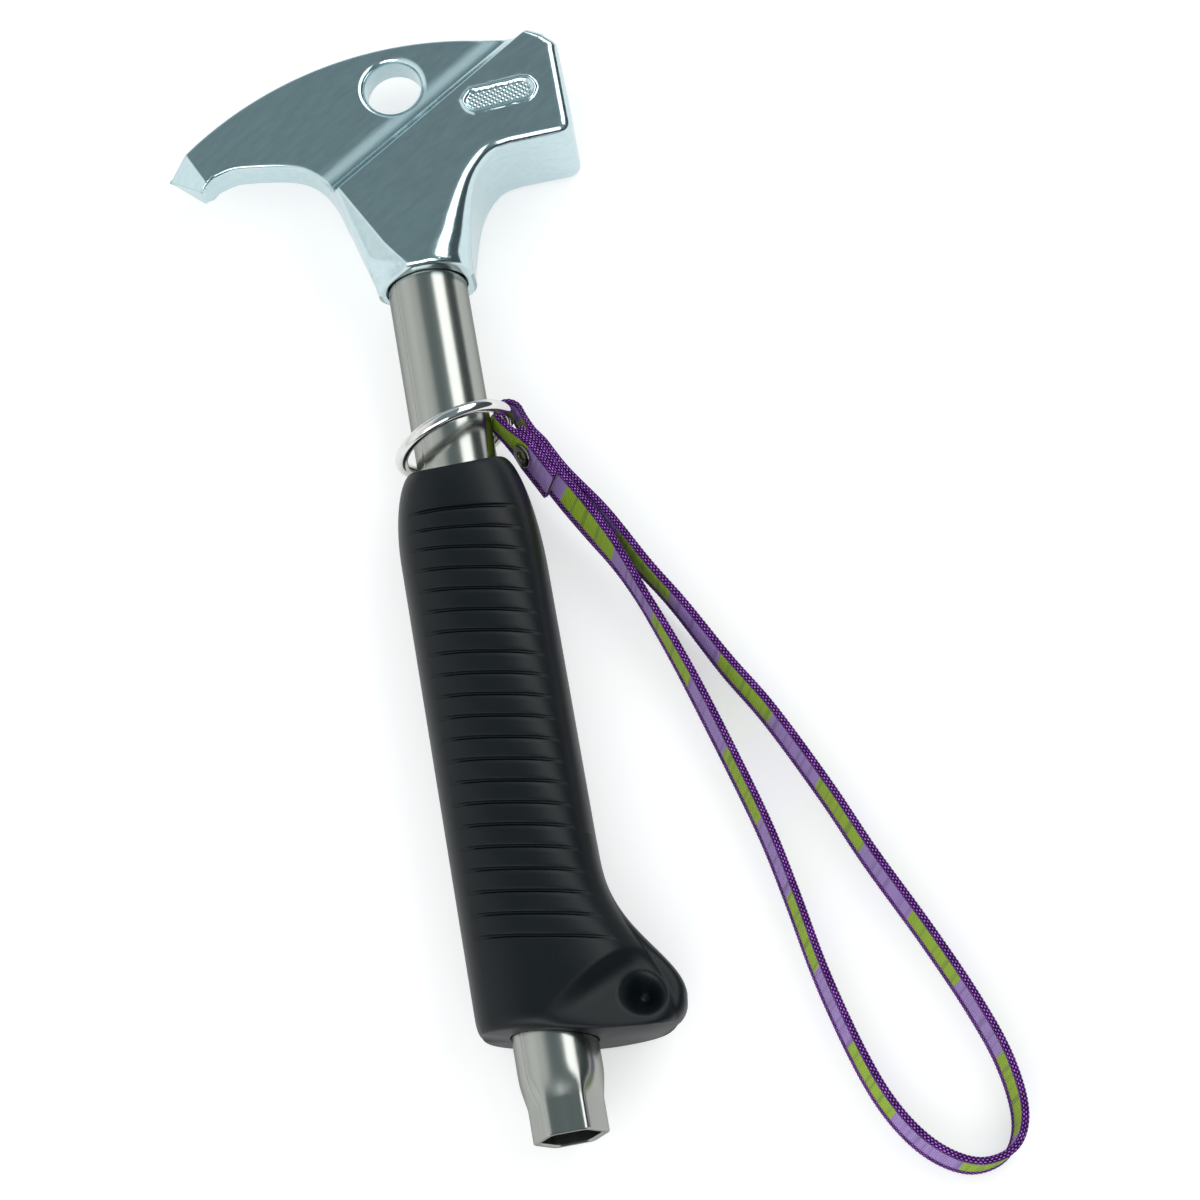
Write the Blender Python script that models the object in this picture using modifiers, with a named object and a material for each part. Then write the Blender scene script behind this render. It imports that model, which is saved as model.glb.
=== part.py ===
"""Piton hammer: forged head, tube handle with a box socket, moulded grip and a webbing wrist loop.

Metres. X points to the striking face, Y up the handle, Z up off the table. The hammer lies on its
side. Distances along Y are counted from the socket end, X and Z from the axis of the tube.
"""
import math

import bmesh
import bpy
from mathutils import Matrix, Vector

GAP = 0.0003

# Handle tube, with its lower end pressed to a socket for a 13 mm hexagon
TUBE_DIAMETER = 0.020
TUBE_WALL = 0.0015
TUBE_SEAT = 0.024
SOCKET_FLATS = 0.013
SOCKET_DEPTH = 0.0080
SOCKET_TAPER = 0.0045

# Head: collar, neck, poll and pick, from one forging
COLLAR_END = 0.2178
COLLAR_WALL = 0.0021
COLLAR_SCOOP = 0.0020
HEAD_THICKNESS = 0.028
HEAD_HEIGHT = 0.0692
EDGE_ROUND = 0.0018
CROWN_RADIUS = 0.093
CROWN_X = 0.001
FACE_REACH = 0.0437
FACE_LOWER = 0.0312
FACE_ROUND = 0.0030
NECK_RIGHT_WIDTH = 2.69
BLADE_THICKNESS = 0.010
PICK_REACH = 0.0610
PICK_BEVEL = 0.0071
PICK_BEVEL_TURN = math.radians(204.9)
RIDGE_HEIGHT = 0.0383
RIDGE_ANGLE = math.radians(32.4)
RIDGE_RUN = 0.0115
HOLE_DIAMETER = 0.0144
HOLE_FILLET = 0.0020
HOLE_DROP = 0.0113

# Grip: an oval handle with saw-tooth grooves and a thin flared tail
GRIP_BOTTOM = 0.0236
GRIP_TOP = 0.1688
GRIP_WIDTH = 0.0352
GRIP_THICKNESS = 0.028
GRIP_RIM = 0.0022
GRIP_RIM_DIP = 0.0030
GRIP_SHOULDER = 0.026
GRIP_SWELL_POWER = 0.62
GRIP_HEEL = 0.005
GRIP_HEEL_DEPTH = 0.0040
GRIP_SLANT = 0.19
GRIP_SQUARENESS = 2.5
GRIP_WALL = 0.0024
BODY_FLARE = 0.78
GROOVES = 21
GROOVE_PITCH = 0.00545
GROOVE_DEPTH = 0.0007
GROOVE_FIRST = 0.0150
GROOVE_SPREAD = 0.72
GROOVE_FADE = 0.20
TAIL_THICKNESS = 0.0116
TAIL_REACH = 0.0322
TAIL_LENGTH = 0.0455
FLARE_DELAY = 1.6
TAIL_ROUND = 0.0016
TAIL_CREST = 0.0052
TAIL_STEP_X = 0.0240
TAIL_STEP_RISES = 0.407
TAIL_STEP_RUN = 0.0070
TAIL_STEP_TURN = math.radians(-63)
TAIL_STEP_RISE = math.radians(15)
DIMPLE_X = 0.0225
DIMPLE_RISE = 0.0050
DIMPLE_DIAMETER = 0.0105
DIMPLE_FLOOR = 0.0058
DIMPLE_DEPTH = 0.0033

# Ring: round wire, askew on the tube and standing on the table
RING_DIAMETER = 0.0320
RING_WIRE = 0.0032
RING_ASKEW = math.radians(15.7)
RING_X = 0.0006
RING_ABOVE_GRIP = 0.0077

# Webbing: its tail, the turn round the ring and the wrist loop, as one flat strip on edge
STRAP_WIDTH = 0.012
STRAP_THICKNESS = 0.0015
STRAP_HEADING = math.radians(-64)
STRAP_LEAN = 0.21
STRAP_GATHER = 0.68
GATHER_LENGTH = 0.0085
TURN_SLACK = 0.0006
TURN_SETBACK = 0.00035
STACK_OFFSET = 0.0004
TAIL_END = 0.0210
STRAP_SINK_START = 0.015
STRAP_SINK_END = 0.095
RIVET_PLACE = 0.0105
RIVET_FLANGE = 0.0062
RIVET_FLANGE_THICKNESS = 0.0007
RIVET_SHANK = 0.0042
RIVET_BORE = 0.0025

TUBE_RADIUS = TUBE_DIAMETER / 2
COLLAR_RADIUS = TUBE_RADIUS + GAP + COLLAR_WALL
HEAD_HALF = HEAD_THICKNESS / 2
BLADE_HALF = BLADE_THICKNESS / 2
GRIP_HALF = GRIP_THICKNESS / 2
TABLE = -max(HEAD_HALF, GRIP_HALF)
HEAD_TOP = COLLAR_END + HEAD_HEIGHT
STRAP_PITCH = STRAP_THICKNESS + GAP
TURN_RADIUS = RING_WIRE / 2 + GAP + (STRAP_THICKNESS + TURN_SLACK) / 2

# Right edge of the neck, as shares of the way out to the striking face and up to its lower corner
NECK_RIGHT = [(0.479, 0.994), (0.336, 0.962), (0.217, 0.859), (0.131, 0.712), (0.064, 0.487),
              (0.010, 0.192), (0, 0)]

# Left edge of the neck and the underside of the pick, as shares of the way out and of the head's height
NECK_LEFT = [(0, 0), (0.025, 0.123), (0.078, 0.275), (0.119, 0.390), (0.175, 0.484), (0.263, 0.556),
             (0.381, 0.595), (0.566, 0.620), (0.660, 0.624), (0.753, 0.607)]
PICK_BEAK = [(0.798, 0.582), (0.831, 0.564)]

# The bell that bounds the neck's corners, as radius and height in shares of the head's height
NECK_BELL = [(0.868, 0.694), (0.522, 0.571), (0.384, 0.499), (0.308, 0.419), (0.264, 0.318),
             (0.237, 0.210), (0.218, 0.087), (0.2065, 0)]
NECK_BELL_SPREAD = 4.4
NECK_BELL_SPREAD_START = 0.289
NECK_SLAB_HEIGHT = 0.556

# Lower edge of the tail and its root in the grip, as shares of the tail's reach and length
TAIL_LOWER = [(0.988, 0.046), (0.935, -0.018), (0.800, -0.056), (0.329, -0.044), (-0.273, 0.035)]
TAIL_ROOT = [(-0.382, 0.132), (-0.301, 0.440)]

# The free run of the webbing, seen from above, in metres from the tube's axis and socket end
LOOP_ROUTE = [
    (0.0323, 0.1508), (0.0402, 0.1372), (0.0473, 0.1252), (0.0557, 0.1087), (0.0637, 0.0942),
    (0.0733, 0.0727), (0.0805, 0.0545), (0.0897, 0.0336), (0.0970, 0.0153), (0.1014, 0.0005),
    (0.1022, -0.0125), (0.0983, -0.0202), (0.0899, -0.0220), (0.0812, -0.0169), (0.0741, -0.0070),
    (0.0689, 0.0066), (0.0638, 0.0279), (0.0606, 0.0480), (0.0575, 0.0652), (0.0524, 0.0855),
    (0.0467, 0.1060), (0.0416, 0.1216), (0.0354, 0.1380), (0.0302, 0.1486),
]


def placed(points, origin, width, height):
    """Points given as shares of a width and a height, set out from an origin."""
    return [(origin[0] + x * width, origin[1] + y * height) for x, y in points]


def clear_scene():
    for thing in list(bpy.data.objects):
        bpy.data.objects.remove(thing, do_unlink=True)


def new_collection(name):
    group = bpy.data.collections.new(name)
    bpy.context.scene.collection.children.link(group)
    return group


def material(name, colour, roughness, metallic):
    made = bpy.data.materials.new(name)
    made.use_nodes = True
    shader = made.node_tree.nodes["Principled BSDF"]
    shader.inputs["Base Color"].default_value = (*colour, 1)
    shader.inputs["Roughness"].default_value = roughness
    shader.inputs["Metallic"].default_value = metallic
    made.diffuse_color = (*colour, 1)
    return made


def object_from(bm, name, group, angle=35):
    """Close off a bmesh as an object with smooth shading up to an edge angle."""
    bmesh.ops.recalc_face_normals(bm, faces=bm.faces)
    if bm.calc_volume(signed=True) < 0:
        bmesh.ops.reverse_faces(bm, faces=bm.faces)
    mesh = bpy.data.meshes.new(name)
    bm.to_mesh(mesh)
    bm.free()
    mesh.shade_smooth()
    mesh.set_sharp_from_angle(angle=math.radians(angle))
    made = bpy.data.objects.new(name, mesh)
    group.objects.link(made)
    return made


def mesh_copy(thing, name, group):
    """The evaluated mesh of a curve or a modified object, welded, as an object of its own."""
    graph = bpy.context.evaluated_depsgraph_get()
    mesh = bpy.data.meshes.new_from_object(thing.evaluated_get(graph))
    place = thing.matrix_world.copy()
    bpy.data.objects.remove(thing, do_unlink=True)
    bm = bmesh.new()
    bm.from_mesh(mesh)
    bmesh.ops.remove_doubles(bm, verts=bm.verts, dist=0.00001)
    bm.transform(place)
    return object_from(bm, name, group)


def flat_solid(name, group, outline, half_thickness, frame=None):
    """A closed outline of (x, y) points, extruded both ways along its own Z, then set in a frame."""
    curve = bpy.data.curves.new(name, "CURVE")
    curve.dimensions = "2D"
    curve.fill_mode = "BOTH"
    curve.extrude = half_thickness
    spline = curve.splines.new("POLY")
    spline.points.add(len(outline) - 1)
    for point, (x, y) in zip(spline.points, outline):
        point.co = (x, y, 0, 1)
    spline.use_cyclic_u = True
    made = bpy.data.objects.new(name, curve)
    group.objects.link(made)
    made.matrix_world = frame or Matrix.Identity(4)
    bpy.context.view_layer.update()
    return mesh_copy(made, name, group)


def smooth_run(points, steps):
    """A Catmull-Rom curve through the points, with a few steps between each two."""
    knots = [Vector(p) for p in points]
    knots = [2 * knots[0] - knots[1], *knots, 2 * knots[-1] - knots[-2]]
    run = []
    for a, b, c, d in zip(knots, knots[1:], knots[2:], knots[3:]):
        for step in range(steps):
            t = step / steps
            run.append(0.5 * (2 * b + (c - a) * t + (2 * a - 5 * b + 4 * c - d) * t ** 2
                              + (3 * b - a - 3 * c + d) * t ** 3))
    return [tuple(p) for p in [*run, knots[-2]]]


def arc(centre, radius, start, end, steps):
    angles = [start + (end - start) * i / steps for i in range(steps + 1)]
    return [(centre[0] + radius * math.cos(a), centre[1] + radius * math.sin(a)) for a in angles]


def loft(name, group, rings, closed):
    """Skin rings of equal point count; closed joins the last ring to the first, else ends are capped."""
    bm = bmesh.new()
    loops = [[bm.verts.new(p) for p in ring] for ring in rings]
    pairs = list(zip(loops, loops[1:]))
    if closed:
        pairs.append((loops[-1], loops[0]))
    for low, high in pairs:
        for i in range(len(low)):
            j = (i + 1) % len(low)
            bm.faces.new((low[i], low[j], high[j], high[i]))
    if not closed:
        bm.faces.new(reversed(loops[0]))
        bm.faces.new(loops[-1])
    return object_from(bm, name, group)


def inset(outline, width):
    """A closed outline that runs clockwise, moved inward by a width."""
    moved = []
    for i, point in enumerate(outline):
        here = Vector(point)
        along = (here - Vector(outline[i - 1])).normalized()
        onward = (Vector(outline[(i + 1) % len(outline)]) - here).normalized()
        course = (along + onward).normalized()
        reach = width / max(course.dot(along), 0.6)
        moved.append((here.x + course.y * reach, here.y - course.x * reach))
    return moved


def rounded_solid(name, group, outline, half_thickness, radius):
    """A clockwise outline extruded both ways along Z, with the rims of its flat faces rounded."""
    edge = radius * (1 - math.sqrt(0.5))
    levels = [(half_thickness, radius), (half_thickness - edge, edge), (half_thickness - radius, 0)]
    levels = [(-z, width) for z, width in levels] + levels[::-1]
    rings = [[(x, y, z) for x, y in inset(outline, width)] for z, width in levels]
    return loft(name, group, rings, closed=False)


def turned(name, group, profile, segments, frame):
    """A profile of (radius, height) points, top to bottom, turned about its own Z, set in a frame."""
    bm = bmesh.new()
    verts = [bm.verts.new((radius, 0, height)) for radius, height in profile]
    for a, b in zip(verts, verts[1:]):
        bm.edges.new((a, b))
    mesh = bpy.data.meshes.new(name)
    bm.to_mesh(mesh)
    bm.free()
    made = bpy.data.objects.new(name, mesh)
    group.objects.link(made)
    screw = made.modifiers.new("turn", "SCREW")
    screw.axis = "Z"
    screw.steps = segments
    screw.render_steps = segments
    screw.use_merge_vertices = True
    screw.merge_threshold = 0.00001
    made.matrix_world = frame
    bpy.context.view_layer.update()
    return mesh_copy(made, name, group)


def boolean(thing, cutter, operation):
    change = thing.modifiers.new(operation.lower() + " " + cutter.name, "BOOLEAN")
    change.object = cutter
    change.operation = operation
    change.solver = "EXACT"
    cutter.hide_render = True
    cutter.display_type = "WIRE"


def frame_at(origin, x_axis, z_axis):
    """A frame with its X and Z along two square directions."""
    x = Vector(x_axis).normalized()
    z = Vector(z_axis).normalized()
    y = z.cross(x)
    turn = Matrix((x, y, z)).transposed().to_4x4()
    return Matrix.Translation(origin) @ turn


def crown(x):
    """Height of the crown, the arc along the top of the head."""
    centre = HEAD_TOP - CROWN_RADIUS
    return centre + math.sqrt(CROWN_RADIUS ** 2 - (x - CROWN_X) ** 2)


def head_outline():
    """The head seen from the side, clockwise: crown, face, neck, spare for the collar's scoop, pick."""
    face_low = COLLAR_END + FACE_LOWER
    corner = (FACE_REACH - FACE_ROUND, crown(FACE_REACH) - FACE_ROUND)
    steps = 22
    crown_start = -PICK_REACH
    crown_end = FACE_REACH - FACE_ROUND
    top = []
    for i in range(steps + 1):
        x = crown_start + (crown_end - crown_start) * i / steps
        top.append((x, crown(x)))
    face = arc(corner, FACE_ROUND, math.radians(60), 0, 4)
    heel = arc((FACE_REACH - FACE_ROUND, face_low + FACE_ROUND), FACE_ROUND, 0, -math.pi / 2, 5)
    foot = (COLLAR_RADIUS, COLLAR_END)
    right = smooth_run(placed(NECK_RIGHT, foot, FACE_REACH - COLLAR_RADIUS, FACE_LOWER), 4)
    foot = (-COLLAR_RADIUS, COLLAR_END)
    overhang = COLLAR_RADIUS - PICK_REACH
    left = smooth_run(placed(NECK_LEFT, foot, overhang, HEAD_HEIGHT), 3)
    beak = placed(PICK_BEAK, foot, overhang, HEAD_HEIGHT)
    spare = COLLAR_END - COLLAR_RADIUS / 2
    ends = [(COLLAR_RADIUS, spare), (-COLLAR_RADIUS, spare)]
    return [*top, *face, *heel, *right, *ends, *left, *beak]


def step_cutter(name, group, corner, turn, top, floor, run, side, rise=0):
    """A block that steps down from an edge: a hollow arc from top to floor over the run, then flat.

    With a rise the block climbs out of the surface along the edge, so the step fades away.
    """
    drop = top - floor
    radius = (run ** 2 + drop ** 2) / (2 * drop)
    far = PICK_REACH + FACE_REACH
    start = math.pi + math.asin((radius - drop) / radius)
    hollow = arc((run, floor + radius), radius, start, 1.5 * math.pi, 10)
    profile = [(0, 2 * top), *hollow, (far, floor), (far, 2 * top)]
    profile = [(u, side * z) for u, z in profile]
    downhill = Vector((math.cos(turn), math.sin(turn), 0))
    along = downhill.cross(Vector((0, 0, 1)))
    climb = Matrix.Rotation(-side * rise, 4, downhill)
    frame = Matrix.Translation(corner) @ climb @ Matrix.Translation(-corner)
    return flat_solid(name, group, profile, far, frame @ frame_at(corner, downhill, along))


def build_head(parts, cutters, finish):
    head = rounded_solid("head", parts, head_outline(), HEAD_HALF, EDGE_ROUND)
    ridge = Vector((0, COLLAR_END + RIDGE_HEIGHT, 0))
    uphill = RIDGE_ANGLE + math.pi / 2
    pick_tip = Vector((-PICK_REACH, crown(-PICK_REACH), 0))
    outward = Vector((math.cos(PICK_BEVEL_TURN), math.sin(PICK_BEVEL_TURN), 0))
    along = outward.cross(Vector((0, 0, 1)))
    slope = BLADE_HALF / PICK_BEVEL
    for side, label in ((1, "near"), (-1, "far")):
        relief = step_cutter("relief_" + label, cutters, ridge, uphill, HEAD_HALF, BLADE_HALF,
                             RIDGE_RUN, side)
        boolean(head, relief, "DIFFERENCE")
        wedge = [(-PICK_BEVEL - GAP, side * (BLADE_HALF + slope * GAP)), (PICK_BEVEL, -side * BLADE_HALF),
                 (PICK_BEVEL, side * HEAD_HALF), (-PICK_BEVEL - GAP, side * HEAD_HALF)]
        chisel = flat_solid("pick_bevel_" + label, cutters, wedge, HEAD_THICKNESS,
                            frame_at(pick_tip, outward, along))
        boolean(head, chisel, "DIFFERENCE")

    boolean(head, neck_trim(cutters), "DIFFERENCE")
    boolean(head, collar_trim(cutters), "DIFFERENCE")
    socket = turned("head_socket", cutters,
                    [(0, TUBE_SEAT + GAP), (TUBE_RADIUS + GAP, TUBE_SEAT + GAP),
                     (TUBE_RADIUS + GAP, -TUBE_SEAT), (0, -TUBE_SEAT)], 40,
                    frame_at((0, COLLAR_END, 0), (1, 0, 0), (0, 1, 0)))
    boolean(head, socket, "DIFFERENCE")
    boolean(head, hole_cutter(cutters), "DIFFERENCE")
    head.data.materials.append(finish)
    return head


def neck_trim(cutters):
    """What is cut off the neck's corners: a slab less a bell that narrows to the collar."""
    profile = placed(NECK_BELL, (0, 0), HEAD_HEIGHT, HEAD_HEIGHT)
    foot = (profile[-1][0], -HEAD_HALF)
    profile = [(0, profile[0][1]), *profile, foot, (0, -HEAD_HALF)]
    bell = turned("neck_bell", cutters, profile, 48,
                  frame_at((0, COLLAR_END, 0), (1, 0, 0), (0, 1, 0)))
    squeeze = COLLAR_RADIUS / foot[0]
    for vertex in bell.data.vertices:
        above = max((vertex.co.y - COLLAR_END) / HEAD_HEIGHT - NECK_BELL_SPREAD_START, 0)
        wider = (NECK_RIGHT_WIDTH + NECK_BELL_SPREAD * above) * FACE_REACH / HEAD_HEIGHT
        vertex.co.x *= squeeze * (wider if vertex.co.x > 0 else 1)
    reach = FACE_REACH + PICK_REACH
    low = COLLAR_END - COLLAR_RADIUS
    high = COLLAR_END + NECK_SLAB_HEIGHT * HEAD_HEIGHT
    slab = flat_solid("neck_slab", cutters, [(-reach, low), (reach, low), (reach, high), (-reach, high)],
                      HEAD_HEIGHT)
    boolean(slab, bell, "DIFFERENCE")
    return slab


def collar_trim(cutters):
    """The open end of the collar is scooped, so that its rim stands higher over the flat sides."""
    wide = 1.5 * COLLAR_RADIUS
    points = []
    steps = 12
    for i in range(steps + 1):
        z = wide * (2 * i / steps - 1)
        points.append((z, COLLAR_SCOOP * (z / COLLAR_RADIUS) ** 2))
    points = [(-wide, -wide), *points, (wide, -wide)]
    frame = frame_at((0, COLLAR_END, 0), (0, 0, -1), (1, 0, 0))
    return flat_solid("collar_scoop", cutters, points, wide, frame)


def hole_cutter(cutters):
    """The round hole through the blade, its rims rolled over."""
    radius = HOLE_DIAMETER / 2
    rim = radius + HOLE_FILLET
    upper = [(rim - HOLE_FILLET * math.cos(a), BLADE_HALF - HOLE_FILLET + HOLE_FILLET * math.sin(a))
             for a in (math.pi / 2, math.pi / 3, math.pi / 6, 0)]
    lower = [(r, -z) for r, z in reversed(upper)]
    far = 2 * HEAD_HALF
    profile = [(0, far), (rim, far), *upper, *lower, (rim, -far), (0, -far)]
    return turned("hole_cutter", cutters, profile, 32,
                  Matrix.Translation((0, HEAD_TOP - HOLE_DROP, 0)))


def build_tube(parts, finish):
    """The tube, its end drawn in from round to six flats, inside and outside alike."""
    count = 48
    inner_radius = TUBE_RADIUS - TUBE_WALL

    def section(y, radius, flats, blend):
        ring = []
        for i in range(count):
            angle = 2 * math.pi * i / count
            off = (angle + math.pi / 6) % (math.pi / 3) - math.pi / 6
            hexagon = flats / 2 / math.cos(math.pi / 6 - abs(off))
            reach = radius + (hexagon - radius) * blend
            ring.append((reach * math.cos(angle), y, reach * math.sin(angle)))
        return ring

    heights = [(0, 1), (SOCKET_DEPTH, 1), (SOCKET_DEPTH + 0.25 * SOCKET_TAPER, 0.8),
               (SOCKET_DEPTH + 0.75 * SOCKET_TAPER, 0.2), (SOCKET_DEPTH + SOCKET_TAPER, 0),
               (COLLAR_END + TUBE_SEAT, 0)]
    outside = [section(y, TUBE_RADIUS, SOCKET_FLATS + 2 * TUBE_WALL, b) for y, b in heights]
    inside = [section(y, inner_radius, SOCKET_FLATS, b) for y, b in heights]
    tube = loft("handle_tube", parts, [*outside, *reversed(inside)], closed=True)
    tube.data.materials.append(finish)
    return tube


def flare(y):
    """How far the grip's right side stands out toward its tail at a height."""
    t = min(max((GRIP_BOTTOM + TAIL_LENGTH - y) / (TAIL_LENGTH - TAIL_CREST), 0), 1) ** FLARE_DELAY
    return (TAIL_REACH - GRIP_WIDTH / 2) * t * t * (3 - 2 * t)


def grip_swell(y):
    """Half width and half thickness of the grip, drawn in toward its rim and its heel."""
    t = min(max((GRIP_TOP - y) / GRIP_SHOULDER, 0), 1)
    swell = (1 - (1 - t) ** 2) ** GRIP_SWELL_POWER
    rim = TUBE_RADIUS + GRIP_RIM
    heel = min(max((y - GRIP_BOTTOM) / GRIP_HEEL, 0), 1)
    inset = GRIP_HEEL_DEPTH * (1 - math.sqrt(1 - (1 - heel) ** 2))
    return rim + (GRIP_WIDTH / 2 - rim) * swell - inset, rim + (GRIP_HALF - rim) * swell - inset


def grip_section(y, groove):
    """One oval ring of the grip, slanted, dipped at the flat sides and pressed in at a groove."""
    half_width, half_thickness = grip_swell(y)
    below = min(max((GRIP_TOP - y) / GRIP_SHOULDER, 0), 1)
    slant = GRIP_SLANT * below
    right = half_width + BODY_FLARE * flare(y - slant * half_width)
    power = 2 / GRIP_SQUARENESS
    count = 40
    ring = []
    for i in range(count):
        angle = 2 * math.pi * i / count
        across = math.copysign(abs(math.cos(angle)) ** power, math.cos(angle))
        up = math.copysign(abs(math.sin(angle)) ** power, math.sin(angle))
        x = across * (right if across > 0 else half_width)
        pressed = groove * min(max((abs(up) - GROOVE_SPREAD) / GROOVE_FADE, 0), 1)
        dip = GRIP_RIM_DIP * (1 - below) ** 2 * up ** 2
        ring.append((x, y - slant * x - dip, up * (half_thickness - pressed)))
    return ring


def grip_rings():
    """Rings from heel to rim, with a saw-tooth of grooves between."""
    stations = [(GRIP_BOTTOM + GRIP_HEEL * i / 4, 0) for i in range(5)]
    first = GRIP_TOP - GROOVE_FIRST
    for i in range(GROOVES):
        lip = first - GROOVE_PITCH * i
        stations.append((lip, 0))
        stations.append((lip + GAP, GROOVE_DEPTH))
    for i in range(7):
        drop = (GROOVE_FIRST - GRIP_RIM) * (1 - math.sin(math.pi / 2 * i / 6))
        stations.append((GRIP_TOP - drop, 0))
    return [grip_section(y, groove) for y, groove in sorted(stations)]


def build_grip(parts, cutters, finish):
    grip = loft("grip", parts, grip_rings(), closed=False)
    tail = rounded_solid("grip_tail", cutters, tail_outline(), TAIL_THICKNESS / 2, TAIL_ROUND)
    step = Vector((TAIL_STEP_X, GRIP_BOTTOM + TAIL_STEP_RISES * TAIL_LENGTH, 0))
    up_tube = frame_at((0, 0, 0), (1, 0, 0), (0, 1, 0))
    wall = TUBE_RADIUS + GAP + GRIP_WALL
    sleeve = turned("tube_sleeve", cutters, [(0, GRIP_TOP), (wall, GRIP_TOP), (wall, 0), (0, 0)], 40,
                    up_tube)
    for side, label in ((1, "near"), (-1, "far")):
        relief = step_cutter("tail_relief_" + label, cutters, step, TAIL_STEP_TURN, GRIP_HALF,
                             TAIL_THICKNESS / 2 - GAP, TAIL_STEP_RUN, side, TAIL_STEP_RISE)
        boolean(relief, sleeve, "DIFFERENCE")
        boolean(grip, relief, "DIFFERENCE")
    boolean(grip, tail, "UNION")
    centre = (DIMPLE_X, GRIP_BOTTOM + DIMPLE_RISE, 0)
    level = TAIL_THICKNESS / 2
    for flip, label in ((0, "near"), (math.pi, "far")):
        profile = [(0, 2 * level), (0.7 * DIMPLE_DIAMETER, 2 * level), (DIMPLE_DIAMETER / 2, level),
                   (DIMPLE_FLOOR / 2, level - DIMPLE_DEPTH), (0, level - DIMPLE_DEPTH)]
        dimple = turned("dimple_" + label, cutters, profile, 24,
                        Matrix.Translation(centre) @ Matrix.Rotation(flip, 4, "X"))
        boolean(grip, dimple, "DIFFERENCE")
    bore = turned("grip_bore", cutters, [(0, 2 * GRIP_TOP), (TUBE_RADIUS + GAP, 2 * GRIP_TOP),
                                         (TUBE_RADIUS + GAP, -GRIP_TOP), (0, -GRIP_TOP)], 40,
                  up_tube)
    boolean(grip, bore, "DIFFERENCE")
    grip.data.materials.append(finish)
    return grip


def tail_outline():
    """The thin tail seen from the side: it flares to the right and closes the heel of the grip."""
    half = GRIP_WIDTH / 2
    low = GRIP_BOTTOM
    steps = 14
    outer = []
    for i in range(steps + 1):
        y = low + TAIL_LENGTH - (TAIL_LENGTH - TAIL_CREST) * i / steps
        outer.append((half + flare(y), y))
    lower = placed(TAIL_LOWER, (0, low), TAIL_REACH, TAIL_LENGTH)
    lower = smooth_run([(TAIL_REACH, low + TAIL_CREST), *lower], 3)
    root = placed(TAIL_ROOT, (0, low), TAIL_REACH, TAIL_LENGTH)
    return [(half / 2, low + TAIL_LENGTH), *outer, *lower[1:], *root]


def ring_centre():
    return Vector((RING_X, GRIP_TOP + RING_ABOVE_GRIP, TABLE + RING_DIAMETER / 2 + GAP))


def strap_pivot():
    """The centre of the ring's wire where the webbing is folded round it."""
    reach = (RING_DIAMETER - RING_WIRE) / 2
    return ring_centre() + Vector((reach * math.cos(RING_ASKEW), reach * math.sin(RING_ASKEW), 0))


def build_ring(parts, finish):
    bpy.ops.mesh.primitive_torus_add(major_radius=(RING_DIAMETER - RING_WIRE) / 2,
                                     minor_radius=RING_WIRE / 2, major_segments=48, minor_segments=12,
                                     location=ring_centre(), rotation=(math.pi / 2, 0, RING_ASKEW))
    ring = bpy.context.object
    ring.name = "ring"
    ring.data.name = "ring"
    ring.data.shade_smooth()
    for group in list(ring.users_collection):
        group.objects.unlink(ring)
    parts.objects.link(ring)
    ring.data.materials.append(finish)
    return ring


def beside_pivot(along, left):
    """A place near the ring, by its distance down the webbing and to the left of it."""
    heading = Vector((math.cos(STRAP_HEADING), math.sin(STRAP_HEADING), 0))
    aside = Vector((heading.y, -heading.x, 0))
    return strap_pivot() + heading * along + aside * left


def strap_route():
    """One strip: tail, turn round the ring, wrist loop, and the end laid between tail and loop."""
    tail = STACK_OFFSET + STRAP_PITCH
    outer = STACK_OFFSET - STRAP_PITCH
    back = STRAP_HEADING + math.pi
    aside = TURN_SLACK / 2
    turn = arc(beside_pivot(-TURN_SETBACK, aside), TURN_RADIUS, back + math.pi / 2, back - math.pi / 2, 10)
    joined = RIVET_PLACE - RIVET_FLANGE / 2
    near = [beside_pivot(TAIL_END, tail), beside_pivot(RIVET_PLACE, tail), beside_pivot(joined, tail)]
    right = [beside_pivot(joined, outer), beside_pivot(RIVET_PLACE, outer),
             beside_pivot(TAIL_END, outer)]
    left = [beside_pivot(TAIL_END, STACK_OFFSET), beside_pivot(RIVET_PLACE, STACK_OFFSET),
            beside_pivot(joined, STACK_OFFSET)]
    rest = smooth_run([(p[0], p[1]) for p in [*right, *LOOP_ROUTE, *left]], 3)
    return [(p[0], p[1]) for p in near] + turn + rest


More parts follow.
